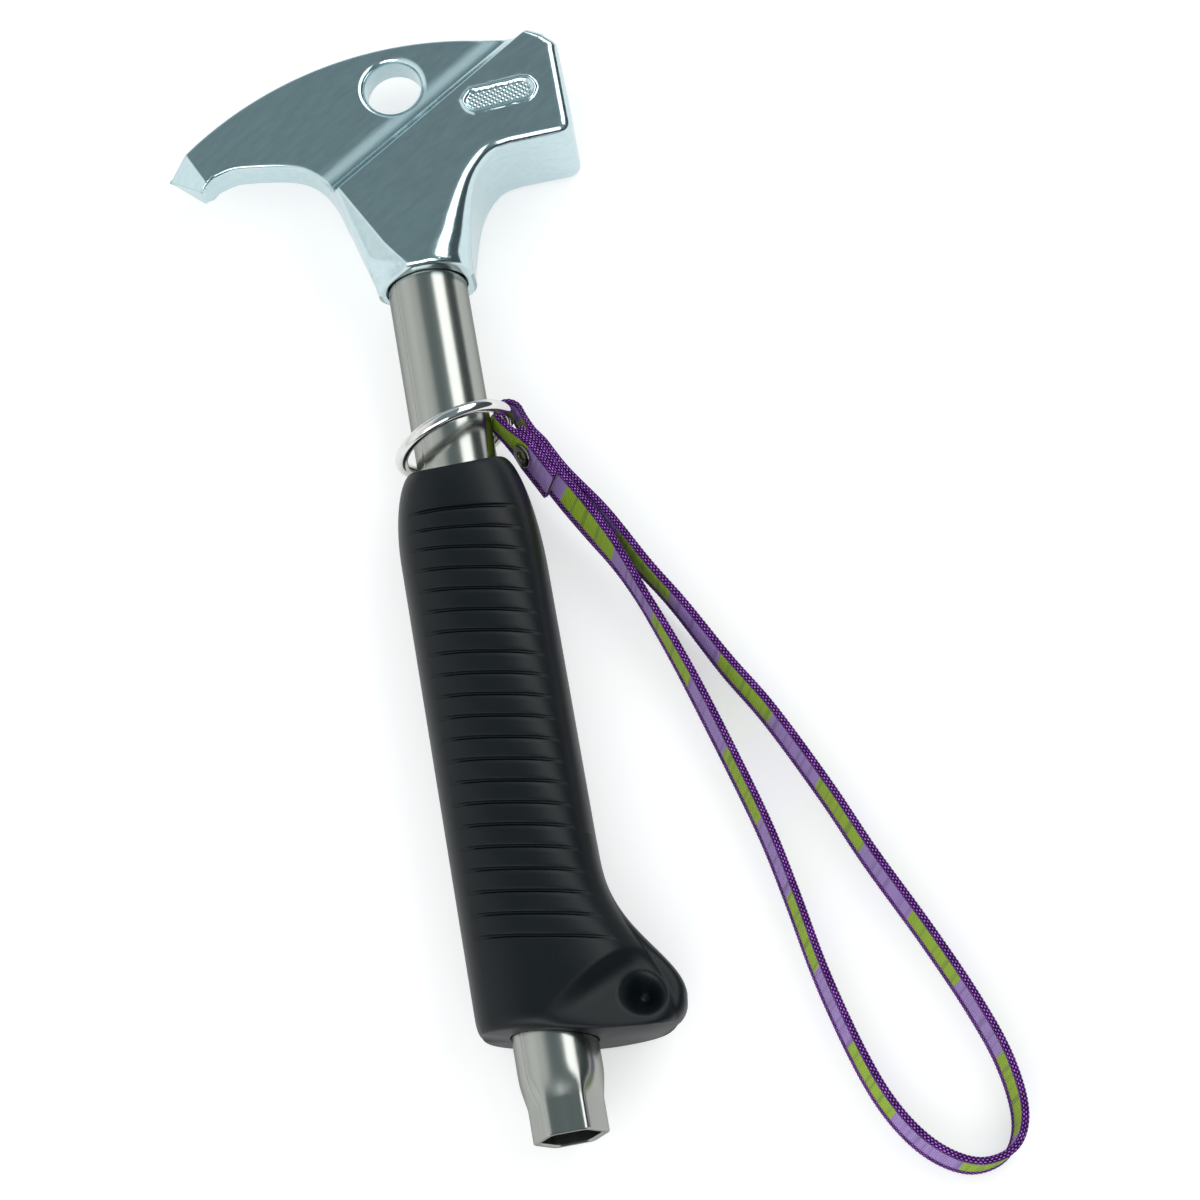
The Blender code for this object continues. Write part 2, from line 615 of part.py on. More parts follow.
def build_strap(parts, cutters, finish):
    """The strip stands on edge, sinks from the ring to the table and leans a little to the right."""
    route = strap_route()
    curve = bpy.data.curves.new("strap_path", "CURVE")
    curve.dimensions = "2D"
    curve.extrude = STRAP_WIDTH / 2
    spline = curve.splines.new("POLY")
    spline.points.add(len(route) - 1)
    for point, (x, y) in zip(spline.points, route):
        point.co = (x, y, 0, 1)
    path = bpy.data.objects.new("strap_path", curve)
    cutters.objects.link(path)
    bpy.context.view_layer.update()
    strap = mesh_copy(path, "strap", parts)
    pivot = strap_pivot()
    floor = TABLE + STRAP_WIDTH / 2 + GAP / 2
    for vertex in strap.data.vertices:
        away = math.hypot(vertex.co.x - pivot.x, vertex.co.y - pivot.y)
        t = min(max((away - STRAP_SINK_START) / (STRAP_SINK_END - STRAP_SINK_START), 0), 1)
        sink = t * t * (3 - 2 * t)
        spread = min(max((away - TURN_RADIUS) / GATHER_LENGTH, 0), 1)
        vertex.co.z *= STRAP_GATHER + (1 - STRAP_GATHER) * spread
        vertex.co.x += STRAP_LEAN * vertex.co.z * sink
        vertex.co.z += pivot.z + (floor - pivot.z) * sink
    shell = strap.modifiers.new("thickness", "SOLIDIFY")
    shell.thickness = STRAP_THICKNESS
    shell.offset = 0
    far = 2 * RIVET_FLANGE
    hole = turned("rivet_hole", cutters, [(0, far), (RIVET_SHANK / 2 + GAP, far),
                                          (RIVET_SHANK / 2 + GAP, -far), (0, -far)], 20, rivet_frame())
    boolean(strap, hole, "DIFFERENCE")
    strap.data.materials.append(finish)
    return strap


def rivet_frame():
    """The rivet's axis runs square through the three layers, pointing out of the tail."""
    aside = Vector((math.sin(STRAP_HEADING), -math.cos(STRAP_HEADING), 0))
    return frame_at(beside_pivot(RIVET_PLACE, STACK_OFFSET), (0, 0, 1), aside)


def build_rivet(parts, finish):
    """A tubular rivet with a rolled flange outside the tail, and its washer outside the loop."""
    stack = 1.5 * STRAP_THICKNESS + 2 * GAP
    flange = RIVET_FLANGE / 2
    shank = RIVET_SHANK / 2
    bore = RIVET_BORE / 2
    high = stack + RIVET_FLANGE_THICKNESS
    low = -stack - RIVET_FLANGE_THICKNESS
    roll = RIVET_FLANGE_THICKNESS / 2
    rivet = turned("rivet", parts, [
        (bore, high - roll), (bore + roll, high), (flange - roll, high), (flange, high - roll),
        (flange, stack), (shank, stack), (shank, low), (bore, low), (bore, high - roll)],
        28, rivet_frame())
    washer = turned("rivet_washer", parts, [
        (shank + GAP, -stack), (flange, -stack), (flange, low + roll), (flange - roll, low),
        (shank + GAP, low), (shank + GAP, -stack)], 28, rivet_frame())
    rivet.data.materials.append(finish)
    washer.data.materials.append(finish)
    return rivet, washer


def empty(name, place, group, parent=None):
    made = bpy.data.objects.new(name, None)
    made.empty_display_size = TUBE_RADIUS
    group.objects.link(made)
    made.parent = parent
    made.location = place
    return made


def carry(thing, holder, offset):
    """Parent a piece to its holder, with its own origin moved to the holder's place."""
    thing.data.transform(thing.matrix_basis)
    thing.data.transform(Matrix.Translation(-offset))
    thing.matrix_basis = Matrix.Identity(4)
    thing.parent = holder


def main():
    clear_scene()
    parts = new_collection("piton_hammer")
    cutters = new_collection("cutters")
    plated = material("plated_steel", (0.34, 0.42, 0.45), 0.28, 1.0)
    steel = material("stainless_steel", (0.60, 0.60, 0.58), 0.30, 1.0)
    rubber = material("black_rubber", (0.018, 0.024, 0.028), 0.55, 0.0)
    nickel = material("polished_nickel", (0.75, 0.74, 0.72), 0.12, 1.0)
    webbing = material("purple_webbing", (0.20, 0.03, 0.30), 0.80, 0.0)
    dark = material("dark_nickel", (0.20, 0.20, 0.20), 0.30, 1.0)

    head = build_head(parts, cutters, plated)
    tube = build_tube(parts, steel)
    grip = build_grip(parts, cutters, rubber)
    ring = build_ring(parts, nickel)
    strap = build_strap(parts, cutters, webbing)
    rivet, washer = build_rivet(parts, dark)

    middle = Vector(((FACE_REACH - PICK_REACH) / 2, HEAD_TOP / 2, TABLE))
    axis = empty("tube_axis", -middle, parts)
    slider = empty("ring_slider", ring_centre(), parts, axis)
    swing = empty("strap_swing", strap_pivot() - ring_centre(), parts, slider)
    for thing in (head, tube, grip):
        thing.parent = axis
    for thing in cutters.objects:
        thing.parent = axis
    carry(ring, slider, ring_centre())
    for thing in (strap, rivet, washer):
        carry(thing, swing, strap_pivot())
    for thing in list(cutters.objects):
        if thing.name == "rivet_hole":
            carry(thing, swing, strap_pivot())
    bpy.context.view_layer.update()


main()
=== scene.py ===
"""Looks of the piton hammer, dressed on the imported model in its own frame."""
import math

import bmesh
import bpy
import numpy as np
from mathutils import Matrix, Vector, noise
from mathutils.geometry import delaunay_2d_cdt

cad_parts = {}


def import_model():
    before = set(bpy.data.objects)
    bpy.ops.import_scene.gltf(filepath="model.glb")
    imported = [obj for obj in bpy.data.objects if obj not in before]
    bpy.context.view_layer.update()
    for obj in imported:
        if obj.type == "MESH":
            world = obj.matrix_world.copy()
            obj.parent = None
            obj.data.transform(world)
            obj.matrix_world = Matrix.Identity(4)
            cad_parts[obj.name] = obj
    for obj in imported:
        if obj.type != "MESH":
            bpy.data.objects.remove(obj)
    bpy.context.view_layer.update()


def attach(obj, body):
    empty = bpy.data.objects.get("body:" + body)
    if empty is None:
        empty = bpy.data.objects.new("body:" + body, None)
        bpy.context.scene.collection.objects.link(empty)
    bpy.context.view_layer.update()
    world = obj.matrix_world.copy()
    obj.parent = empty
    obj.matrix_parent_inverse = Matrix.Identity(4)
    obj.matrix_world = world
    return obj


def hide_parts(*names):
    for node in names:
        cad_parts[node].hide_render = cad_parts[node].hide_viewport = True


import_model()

# The CAD script counts from the tube's axis and the socket end; this is that point in the row frame
AXIS = Vector((0.00865, -0.1435, 0.014))
MM = 0.001

GAP = 0.3
TUBE_RADIUS = 10.0
TUBE_WALL = 1.5
BORE = TUBE_RADIUS + GAP
TUBE_SEAT = 24.0
SOCKET_FLATS = 13.0
SOCKET_DEPTH = 8.0
SOCKET_TAPER = 8.0
COLLAR_END = 217.8
COLLAR_RADIUS = 12.4
COLLAR_LIFT = 1.7
COLLAR_SCOOP = 0.5
HEAD_HALF = 14.0
HEAD_HEIGHT = 69.2
HEAD_TOP = COLLAR_END + HEAD_HEIGHT
CROWN_RADIUS = 93.0
CROWN_X = 1.0
FACE_REACH = 43.7
FACE_LOWER = 31.2
FACE_ROUND = 3.0
BLADE_HALF = 5.0
PICK_REACH = 61.0
PICK_BEVEL = 7.1
PICK_BEVEL_TURN = math.radians(204.9)
RIDGE_HEIGHT = 38.3
RIDGE_ANGLE = math.radians(32.4)
RIDGE_WALL = math.radians(62)
RIDGE_HOLLOW = 14.0
RIDGE_RUN = 11.8
HOLE_RADIUS = 7.2
HOLE_FILLET = 2.0
HOLE_DROP = 11.3
HOLE_Y = HEAD_TOP - HOLE_DROP
HOLE_SEGMENTS = 72
FOOT_STEPS = 40
FOOT_RADIUS = 2.2
TIP_STEPS = 14
GRIP_BOTTOM = 23.6
GRIP_TOP = 168.8
GRIP_WIDTH = 35.2
GRIP_HALF = 14.0
GRIP_RIM = 2.2
GRIP_RIM_DIP = 3.0
GRIP_SHOULDER = 26.0
GRIP_SWELL_POWER = 0.62
GRIP_SLANT = 0.19
GRIP_SQUARENESS = 2.5
GRIP_COLUMNS = 110
SETTLE = 40
HEEL_RISE = 3.6
HEEL_DRAW = 2.7
HEEL_SIDE = 0.6
BODY_FLARE = 0.78
GROOVES = 21
GROOVE_PITCH = 5.45
GROOVE_FIRST = 15.0
GROOVE_SPREAD = 0.72
GROOVE_FADE = 0.20
TAIL_HALF = 5.8
TAIL_REACH = 32.2
TAIL_LENGTH = 45.5
TAIL_CREST = 5.2
FLARE_DELAY = 1.6
TAIL_NOSE = 5.0
STEP_CORNER = (24.0, 42.1)
STEP_TURN = math.radians(-63)
STEP_RUN = 7.0
STEP_RISE = math.tan(math.radians(15))
DIMPLE = (22.5, 28.6)
DIMPLE_RADIUS = 5.6
DIMPLE_FLOOR = 0.3
DIMPLE_DEPTH = 4.1
RING_RADIUS = 14.4
RING_WIRE = 1.6
RING_ASKEW = math.radians(15.7)
RING_CENTRE = Vector((0.6, GRIP_TOP + 7.7, 2.3))
STRAP_WIDTH = 12.0
STRAP_THICKNESS = 1.5
STRAP_HEADING = math.radians(-64)
HEADING = Vector((math.cos(STRAP_HEADING), math.sin(STRAP_HEADING), 0))
ASIDE = Vector((HEADING.y, -HEADING.x, 0))
PIVOT = RING_CENTRE + Vector((RING_RADIUS * math.cos(RING_ASKEW), RING_RADIUS * math.sin(RING_ASKEW), 0))
STRAP_LEAN = 0.21
STRAP_GATHER = 0.68
STRAP_TAIL_GATHER = 0.86
GATHER_LENGTH = 8.5
GATHER_END = 42.0
FOLD_DROP = 3.5
FOLD_FILL = 2.6
FOLD_TILT = math.radians(15)
FOLD_SLIP = 0.25
FOLD_LEVEL = 2.5
FOLD_THINNING = 0.45
STACK_TILT = math.radians(25)
SELVEDGE = 1.9
BEAD_PITCH = 1.05
BEAD_ROW = 0.55
BEAD_SIZE = 0.18
TURN_RADIUS = 2.95
TURN_SETBACK = 0.35
TURN_ASIDE = 0.3
STACK_OFFSET = 0.4
STRAP_PITCH = 1.8
TAIL_END = 21.0
SINK_START = 15.0
SINK_END = 95.0
RIVET_PLACE = 10.5
RIVET_FLANGE = 3.1
RIVET_FLANGE_THICKNESS = 0.7
RIVET_SHANK = 2.1
RIVET_BORE = 1.25
TABLE = -14.0

# Edges of the neck, and the free run of the webbing, as in the CAD script
NECK_RIGHT = [(0.479, 0.994), (0.336, 0.962), (0.217, 0.859), (0.131, 0.712), (0.064, 0.487),
              (0.010, 0.192), (0, 0)]
NECK_LEFT = [(0, 0), (0.025, 0.123), (0.078, 0.275), (0.119, 0.390), (0.175, 0.484), (0.263, 0.556),
             (0.381, 0.595), (0.566, 0.620), (0.660, 0.624), (0.753, 0.607)]
PICK_BEAK = [(0.798, 0.582), (0.831, 0.564)]
LOOP_ROUTE = [
    (32.3, 150.8), (40.2, 137.2), (47.3, 125.2), (55.7, 108.7), (63.7, 94.2), (73.3, 72.7),
    (80.5, 54.5), (89.7, 33.6), (97.0, 15.3), (101.4, 0.5), (102.2, -12.5), (98.3, -20.2),
    (89.9, -22.0), (81.2, -16.9), (74.1, -7.0), (68.9, 6.6), (63.8, 27.9), (60.6, 48.0),
    (57.5, 65.2), (52.4, 85.5), (46.7, 106.0), (41.6, 121.6), (35.4, 138.0), (30.2, 148.6),
]

# Where the colours of the webbing change, along the strip from the end of its tail
BLOCKS = [10.4, 33.2, 52.8, 72.5, 92.1, 111.8, 131.4, 151.1, 170.7, 190.4, 210.0, 229.7, 249.3, 265.5,
          284.7, 304.1, 323.5, 342.9, 362.4, 381.8, 401.2, 419.8, 438.4, 458.1]


def world(x, y, z):
    """A point given in millimetres from the tube's axis and socket end, in the row frame."""
    return AXIS + Vector((x, y, z)) * MM


def smooth_run(points, steps):
    """A Catmull-Rom curve through the points, with a few steps between each two."""
    knots = [Vector(p) for p in points]
    knots = [2 * knots[0] - knots[1], *knots, 2 * knots[-1] - knots[-2]]
    run = []
    for a, b, c, d in zip(knots, knots[1:], knots[2:], knots[3:]):
        for step in range(steps):
            t = step / steps
            run.append(0.5 * (2 * b + (c - a) * t + (2 * a - 5 * b + 4 * c - d) * t ** 2
                              + (3 * b - a - 3 * c + d) * t ** 3))
    return [tuple(p) for p in [*run, knots[-2]]]


def arc(centre, radius, start, end, steps):
    angles = [start + (end - start) * i / steps for i in range(steps + 1)]
    return [(centre[0] + radius * math.cos(a), centre[1] + radius * math.sin(a)) for a in angles]


def linked(name, data):
    made = bpy.data.objects.new(name, data)
    bpy.context.scene.collection.objects.link(made)
    return made


def straight_run(a, b, steps):
    """Points an even step apart between two ends, which are left out."""
    return [(a[0] + (b[0] - a[0]) * k / steps, a[1] + (b[1] - a[1]) * k / steps) for k in range(1, steps)]


def loop_edges(first, count):
    return [(first + i, first + (i + 1) % count) for i in range(count)]


def turns_of(count):
    return [2 * math.pi * k / count for k in range(count)]


def object_from(bm, name, angle=40, normals=None):
    """An object of a mesh with smooth shading, sharp past an angle or with normals of its own."""
    bmesh.ops.recalc_face_normals(bm, faces=bm.faces)
    mesh = bpy.data.meshes.new(name)
    bm.to_mesh(mesh)
    bm.free()
    mesh.shade_smooth()
    if normals is None:
        mesh.set_sharp_from_angle(angle=math.radians(angle))
    else:
        mesh.normals_split_custom_set_from_vertices([tuple(n) for n in normals])
    return linked(name, mesh)


def bridge(bm, low, high):
    """A band of faces between two closed loops of points."""
    for quad in zip(low, low[1:] + low[:1], high[1:] + high[:1], high):
        bm.faces.new(quad)


def camera():
    """The photograph's view: from above and a little toward the socket end."""
    data = bpy.data.cameras.new("camera")
    made = linked("camera", data)
    ahead = Vector((-0.0272, 0.350, -0.936)).normalized()
    down = Vector((-0.1900, -0.9213, -0.3390))
    right = down.cross(ahead).normalized()
    down = ahead.cross(right)
    made.matrix_world = Matrix.Translation((0.05995, -0.30625, 0.7928)) @ Matrix(
        (right, -down, -ahead)).transposed().to_4x4()
    data.lens = 102.75
    data.sensor_width = 36
    data.clip_start = 0.01
    bpy.context.scene.camera = made


def beside_pivot(along, left):
    place = PIVOT + HEADING * along + ASIDE * left
    return place.x, place.y


def strap_route():
    """One strip: tail, turn round the ring, wrist loop, and the end laid between tail and loop."""
    tail = STACK_OFFSET + STRAP_PITCH
    outer = STACK_OFFSET - STRAP_PITCH
    back = STRAP_HEADING + math.pi
    turn = arc(beside_pivot(-TURN_SETBACK, TURN_ASIDE), TURN_RADIUS, back + math.pi / 2,
               back - math.pi / 2, 10)
    joined = RIVET_PLACE - RIVET_FLANGE
    filled = joined - FOLD_FILL
    near = [beside_pivot(p, tail) for p in (TAIL_END, RIVET_PLACE, joined)]
    right = [beside_pivot(p, outer) for p in (joined, RIVET_PLACE, TAIL_END)]
    left = [beside_pivot(p, STACK_OFFSET) for p in (TAIL_END, RIVET_PLACE, filled)]
    return near + turn + smooth_run([*right, *LOOP_ROUTE, *left], 8)


def resample(points, step):
    """Points an even step apart along a line."""
    line = np.array(points, float)
    length = np.concatenate([[0], np.cumsum(np.linalg.norm(np.diff(line, axis=0), axis=1))])
    count = max(int(round(length[-1] / step)), 2)
    at = np.linspace(0, length[-1], count + 1)
    return np.stack([np.interp(at, length, line[:, k]) for k in range(line.shape[1])], 1), at


def strap_section():
    """Half of the strip's section as (across, out, distance from the middle of the edge)."""
    face, edge = 0.60, 0.84
    rim = STRAP_WIDTH / 2
    points = []
    for w in (0, 1.4, 2.8, 3.9):
        points.append((w, face, rim - w + edge))
    points += [
        (rim - SELVEDGE, face + 0.04, SELVEDGE + edge), (rim - 1.45, edge - 0.06, 1.45 + edge * 0.8),
        (rim - 1.0, edge, 1.0 + edge * 0.7), (rim - 0.55, edge * 0.93, 1.02),
        (rim - 0.2, edge * 0.68, 0.66), (rim - 0.04, edge * 0.36, 0.32), (rim, 0, 0),
    ]
    mirrored = [(w, -o, -r) for w, o, r in reversed(points[1:-1])]
    upper = points + mirrored + [(0, -face, -points[0][2])]
    lower = [(-w, -o, -r) for w, o, r in upper[1:-1]]
    return upper + lower


def ease(value, start, end):
    t = min(max((value - start) / (end - start), 0), 1)
    return t * t * (3 - 2 * t)


def stack_tilt(away):
    """How far the webbing leans over to the right near the ring."""
    return FOLD_TILT + (STACK_TILT - FOLD_TILT) * ease(away, 3, 12) - STACK_TILT * ease(away, 22, 60)


def build_strap():
    route, along = resample(strap_route(), 0.25)
    floor = TABLE + STRAP_WIDTH / 2 + GAP / 2
    course = np.gradient(route, axis=0)
    course /= np.linalg.norm(course, axis=1)[:, None]
    section = strap_section()
    bm = bmesh.new()
    rings, centres = [], []
    layers = [bm.verts.layers.float.new(n) for n in ("arc", "block", "around", "across")]
    for (x, y), (tx, ty), s in zip(route, course, along):
        away = math.hypot(x - PIVOT.x, y - PIVOT.y)
        at_wire = 1 - ease(away, 3.5, 8)
        sink = ease(away, SINK_START, SINK_END)
        tilt = stack_tilt(away)
        opened = min(max((away - TURN_RADIUS) / GATHER_LENGTH, 0), 1)
        gather = STRAP_GATHER + (STRAP_TAIL_GATHER - STRAP_GATHER) * opened
        gather += (1 - STRAP_TAIL_GATHER) * ease(away, 18, GATHER_END)
        height = PIVOT.z - FOLD_DROP + (floor - PIVOT.z + FOLD_DROP) * sink
        left = (Vector((x, y, 0)) - Vector((PIVOT.x, PIVOT.y, 0))).dot(ASIDE)
        middle = Vector((x, y, height)) + ASIDE * left * (math.cos(tilt) - 1)
        middle.z += left * math.sin(tilt) * (1 - ease(away, 22, 50))
        up = Vector((STRAP_LEAN * sink, 0, 1)) * math.cos(tilt) - ASIDE * math.sin(tilt)
        side = Vector((-ty, tx, 0))
        side = (side - up * side.dot(up) / up.length_squared).normalized()
        centres.append(world(*middle))
        inner = sum(1 for b in BLOCKS if s > b) % 2
        ring = []
        for across, out, around in section:
            w = across * gather
            o = out
            if abs(around) < SELVEDGE + 0.6:
                row = round(around / BEAD_ROW)
                bead = abs(math.sin(math.pi * (s / BEAD_PITCH + 0.5 * (row % 2))))
                size = BEAD_SIZE * (bead ** 0.8 - 0.5)
                o += size * (1 if out > 0 else -1) * min(abs(out) / 0.5, 1)
                w += size * (1 if across > 0 else -1) * max(1 - abs(around), 0)
            if o < 0:
                o *= 1 - FOLD_THINNING * at_wire
            place = middle + up * w + side * o
            place -= HEADING * FOLD_SLIP * at_wire * max(PIVOT.z - FOLD_LEVEL - place.z, 0)
            vert = bm.verts.new(world(*place))
            for layer, value in zip(layers, (s, inner if out > 0 else 1 - inner, around, w)):
                vert[layer] = value
            ring.append(vert)
        rings.append(ring)
    for low, high in zip(rings, rings[1:]):
        bridge(bm, low, high)
    bm.faces.new(reversed(rings[0]))
    bm.faces.new(rings[-1])
    return object_from(bm, "webbing", 60), centres[::4] + [centres[-1]], along[-1] * MM


def turned(name, profile, segments, place):
    """A closed profile of (radius, height) points, turned about the Z of a frame."""
    bm = bmesh.new()
    loops = []
    for t in turns_of(segments):
        c, s = math.cos(t), math.sin(t)
        loops.append([bm.verts.new(place @ Vector((r * c, r * s, h))) for r, h in profile])
    for low, high in zip(loops, loops[1:] + loops[:1]):
        bridge(bm, low, high)
    bmesh.ops.remove_doubles(bm, verts=bm.verts, dist=1e-7)
    bm.transform(Matrix.Translation(AXIS) @ Matrix.Scale(MM, 4))
    return object_from(bm, name)


def rivet_frame():
    tilt = stack_tilt(RIVET_PLACE)
    z = ASIDE * math.cos(tilt) + Vector((0, 0, math.sin(tilt)))
    x = Vector((0, 0, math.cos(tilt))) - ASIDE * math.sin(tilt)
    y = z.cross(x)
    origin = Vector((*beside_pivot(RIVET_PLACE, 0), PIVOT.z - FOLD_DROP)) + z * STACK_OFFSET
    return Matrix.Translation(origin) @ Matrix((x, y, z)).transposed().to_4x4()


def build_rivet():
    stack = 1.5 * STRAP_THICKNESS + 2 * GAP
    high = stack + RIVET_FLANGE_THICKNESS
    roll = RIVET_FLANGE_THICKNESS / 2
    outer = arc((RIVET_FLANGE - roll, stack + roll), roll, -math.pi / 2, math.pi / 2, 8)
    inner = arc((RIVET_BORE + roll, high - roll), roll, math.pi / 2, math.pi, 6)
    rivet = turned("rivet_shell", [(RIVET_SHANK, stack), *outer, *inner, (RIVET_BORE, -high),
                                   (RIVET_SHANK, -high)], 48, rivet_frame())
    rim = arc((RIVET_FLANGE - roll, -stack - roll), roll, math.pi / 2, -math.pi / 2, 8)
    washer = turned("rivet_base", [(RIVET_SHANK + GAP, -stack), *rim, (RIVET_SHANK + GAP + roll, -high),
                                   (RIVET_SHANK + GAP, -high + roll / 2)], 48, rivet_frame())
    return rivet, washer


def build_ring():
    place = Matrix.Translation(RING_CENTRE) @ Matrix.Rotation(RING_ASKEW, 4, "Z")
    place = place @ Matrix.Rotation(math.pi / 2, 4, "X")
    section = [(RING_RADIUS + RING_WIRE * math.cos(t), RING_WIRE * math.sin(t)) for t in turns_of(28)]
    return turned("ring_wire", section, 160, place)


def build_tube():
    """The tube, pressed to a hexagonal socket at its end, with its seam along one side."""
    seam = math.radians(180 - 41)
    corners = [60 * k + d for k in range(6) for d in (-5, -3, -1, 1, 3, 5)]
    angles = {round(t, 6) for t in turns_of(180)}
    angles |= {round(seam + math.radians(d), 6) for d in (-1.6, -0.8, 0, 0.8, 1.6)}
    angles |= {round(math.radians(d) % (2 * math.pi), 6) for d in corners}
    angles = sorted(angles)
    inner_radius = TUBE_RADIUS - TUBE_WALL

    def ring(y, radius, flats, blend, groove=0):
        points = []
        for a in angles:
            off = (a + math.pi / 6) % (math.pi / 3) - math.pi / 6
            hexagon = flats / 2 / math.cos(math.pi / 6 - abs(off))
            corner = flats / 2 / math.cos(math.pi / 6)
            hexagon = float(soft_min(hexagon, corner - 0.30, 0.35))
            reach = radius + (hexagon - radius) * blend
            near = abs((a - seam + math.pi) % (2 * math.pi) - math.pi)
            reach -= groove * max(1 - near / math.radians(1.6), 0)
            points.append((reach * math.cos(a), y, reach * math.sin(a)))
        return points

    depth, taper = SOCKET_DEPTH, SOCKET_TAPER
    levels = [(depth * k / 6, 1) for k in range(7)]
    levels += [(depth + taper * k / 18, 1 - math.sin(math.pi / 2 * k / 18) ** 1.15) for k in range(1, 19)]
    start = depth + taper + 4
    levels += [(start + (COLLAR_END + TUBE_SEAT - start) * k / 40, 0) for k in range(41)]
    wall = SOCKET_FLATS + 2 * TUBE_WALL
    outside = [ring(y, TUBE_RADIUS, wall, b, 0.12) for y, b in levels]
    inside = [ring(y, inner_radius, SOCKET_FLATS, b) for y, b in levels]
    outside[0] = ring(0.22, TUBE_RADIUS, wall, 1, 0.12)
    outside.insert(0, ring(0.0, TUBE_RADIUS, wall - 0.4, 1))
    inside[0] = ring(0.35, inner_radius, SOCKET_FLATS, 1)
    inside.insert(0, ring(0.0, inner_radius, SOCKET_FLATS + 0.7, 1))
    bm = bmesh.new()
    loops = [[bm.verts.new(world(*p)) for p in r] for r in [*outside, *reversed(inside)]]
    for low, high in zip(loops, loops[1:] + loops[:1]):
        bridge(bm, low, high)
    return object_from(bm, "tube_shell", 28)


def crown(x):
    return HEAD_TOP - CROWN_RADIUS + math.sqrt(CROWN_RADIUS ** 2 - (x - CROWN_X) ** 2)


def head_outline():
    """The head's side view, clockwise from the pick, as (x, y, edge radius), open at the collar's end."""
    low = COLLAR_END + FACE_LOWER
    end = FACE_REACH - FACE_ROUND
    top = []
    for i in range(111):
        x = -PICK_REACH + (end + PICK_REACH) * i / 110
        t = min(max((x - 26) / 14, 0), 1)
        top.append((x, crown(x), 0.6 + 2.0 * t * t))
    corner = (end, crown(FACE_REACH) - FACE_ROUND)
    face = [(x, y, 2.6) for x, y in arc(corner, FACE_ROUND, math.radians(60), 0, 6)]
    run = straight_run((FACE_REACH, corner[1]), (FACE_REACH, low + FACE_ROUND), 34)
    straight = [(x, y, 2.8) for x, y in run]
    heel = [(x, y, 3.0) for x, y in arc((end, low + FACE_ROUND), FACE_ROUND, 0, -math.pi / 2, 9)]
    width = FACE_REACH - COLLAR_RADIUS
    run = smooth_run([(COLLAR_RADIUS + x * width, COLLAR_END + y * FACE_LOWER) for x, y in NECK_RIGHT], 10)
    right = []
    for x, y in straight_run((end, low), run[0], 14) + run:
        t = min(max((low - 4 - y) / (FACE_LOWER - 4), 0), 1)
        right.append((x, y, 3.0 + 8.6 * t ** 1.3))
    overhang = COLLAR_RADIUS - PICK_REACH
    run = [(-COLLAR_RADIUS + x * overhang, COLLAR_END + y * HEAD_HEIGHT) for x, y in NECK_LEFT]
    left = []
    for x, y in smooth_run(run, 9):
        t = min(max((y - COLLAR_END) / 30, 0), 1)
        left.append((x, y, 2.0 - 0.8 * t ** 0.7 + 9.0 * (1 - ease(y, COLLAR_END, COLLAR_END + 9))))
    beak = [(-COLLAR_RADIUS + x * overhang, COLLAR_END + y * HEAD_HEIGHT, 0.7) for x, y in PICK_BEAK]
    toward = [(x, y, 0.5) for x, y in straight_run(beak[-1], top[0], TIP_STEPS)]
    return [*top, *face[1:], *straight, *heel[:-1], *right], [*left, *beak, *toward]


def nearest(points, a, b, radii):
    """Distance from points to the edges a to b, and the edge radius at the nearest place."""
    best = np.full(len(points), 1e9)
    radius = np.zeros(len(points))
    edge = b - a
    size = (edge ** 2).sum(1)
    for start in range(0, len(points), 2000):
        part = slice(start, start + 2000)
        p = points[part, None, :]
        t = np.clip(((p - a) * edge).sum(2) / size, 0, 1)
        away = np.linalg.norm(p - (a + t[..., None] * edge), axis=2)
        k = away.argmin(1)
        row = np.arange(len(k))
        best[part] = away[row, k]
        u = t[row, k]
        radius[part] = radii[0][k] * (1 - u) + radii[1][k] * u
    return best, radius


def distance_to(points, line):
    """Distance from points to a line of straight pieces."""
    none = np.zeros(len(line) - 1)
    return nearest(points, line[:-1], line[1:], (none, none))[0]


def soft_min(a, b, k):
    h = np.clip(0.5 + 0.5 * (b - a) / k, 0, 1)
    return b * (1 - h) + a * h - k * h * (1 - h)


def rounding(depth, radius):
    """How far a surface drops below its level, near an edge that is rounded to a radius."""
    inside = np.clip(radius - depth, 0, radius)
    return radius - np.sqrt(np.maximum(radius ** 2 - inside ** 2, 0))


RIDGE = np.array([0, COLLAR_END + RIDGE_HEIGHT])
RIDGE_ALONG = np.array([math.cos(RIDGE_ANGLE), math.sin(RIDGE_ANGLE)])
UPHILL = np.array([-RIDGE_ALONG[1], RIDGE_ALONG[0]])
PICK_TIP = np.array([-PICK_REACH, crown(-PICK_REACH)])
OUTWARD = np.array([math.cos(PICK_BEVEL_TURN), math.sin(PICK_BEVEL_TURN)])
CREASE = [(-23.6, 251.2), (-17.2, 236.0), (-12.6, 224.4), (-11.0, 219.5)]
FACET_A = np.array([-19.9, 250.9])
FACET_B = np.array([-7.0, 226.0])
FACET_LINE = (FACET_B - FACET_A) / np.linalg.norm(FACET_B - FACET_A)
FACET_SIDE = np.array([FACET_LINE[1], -FACET_LINE[0]])
FACET_SLOPE = 1.0
CREASE_DEPTH = 0.36
CREASE_WIDTH = 0.2
PILL = (27.0, 262.3)
PILL_LONG = 10.0
PILL_HALF = 4.15
PILL_TILT = math.radians(3.0)
PILL_RIM = 0.46
PILL_RIM_WIDTH = 0.55
PILL_FLOOR = 0.24
STIPPLE_PITCH = 1.45
STIPPLE_HEIGHT = 0.085


def from_hole(points):
    """Distance of points from the edge of the round hole."""
    return np.hypot(points[:, 0], points[:, 1] - HOLE_Y) - HOLE_RADIUS


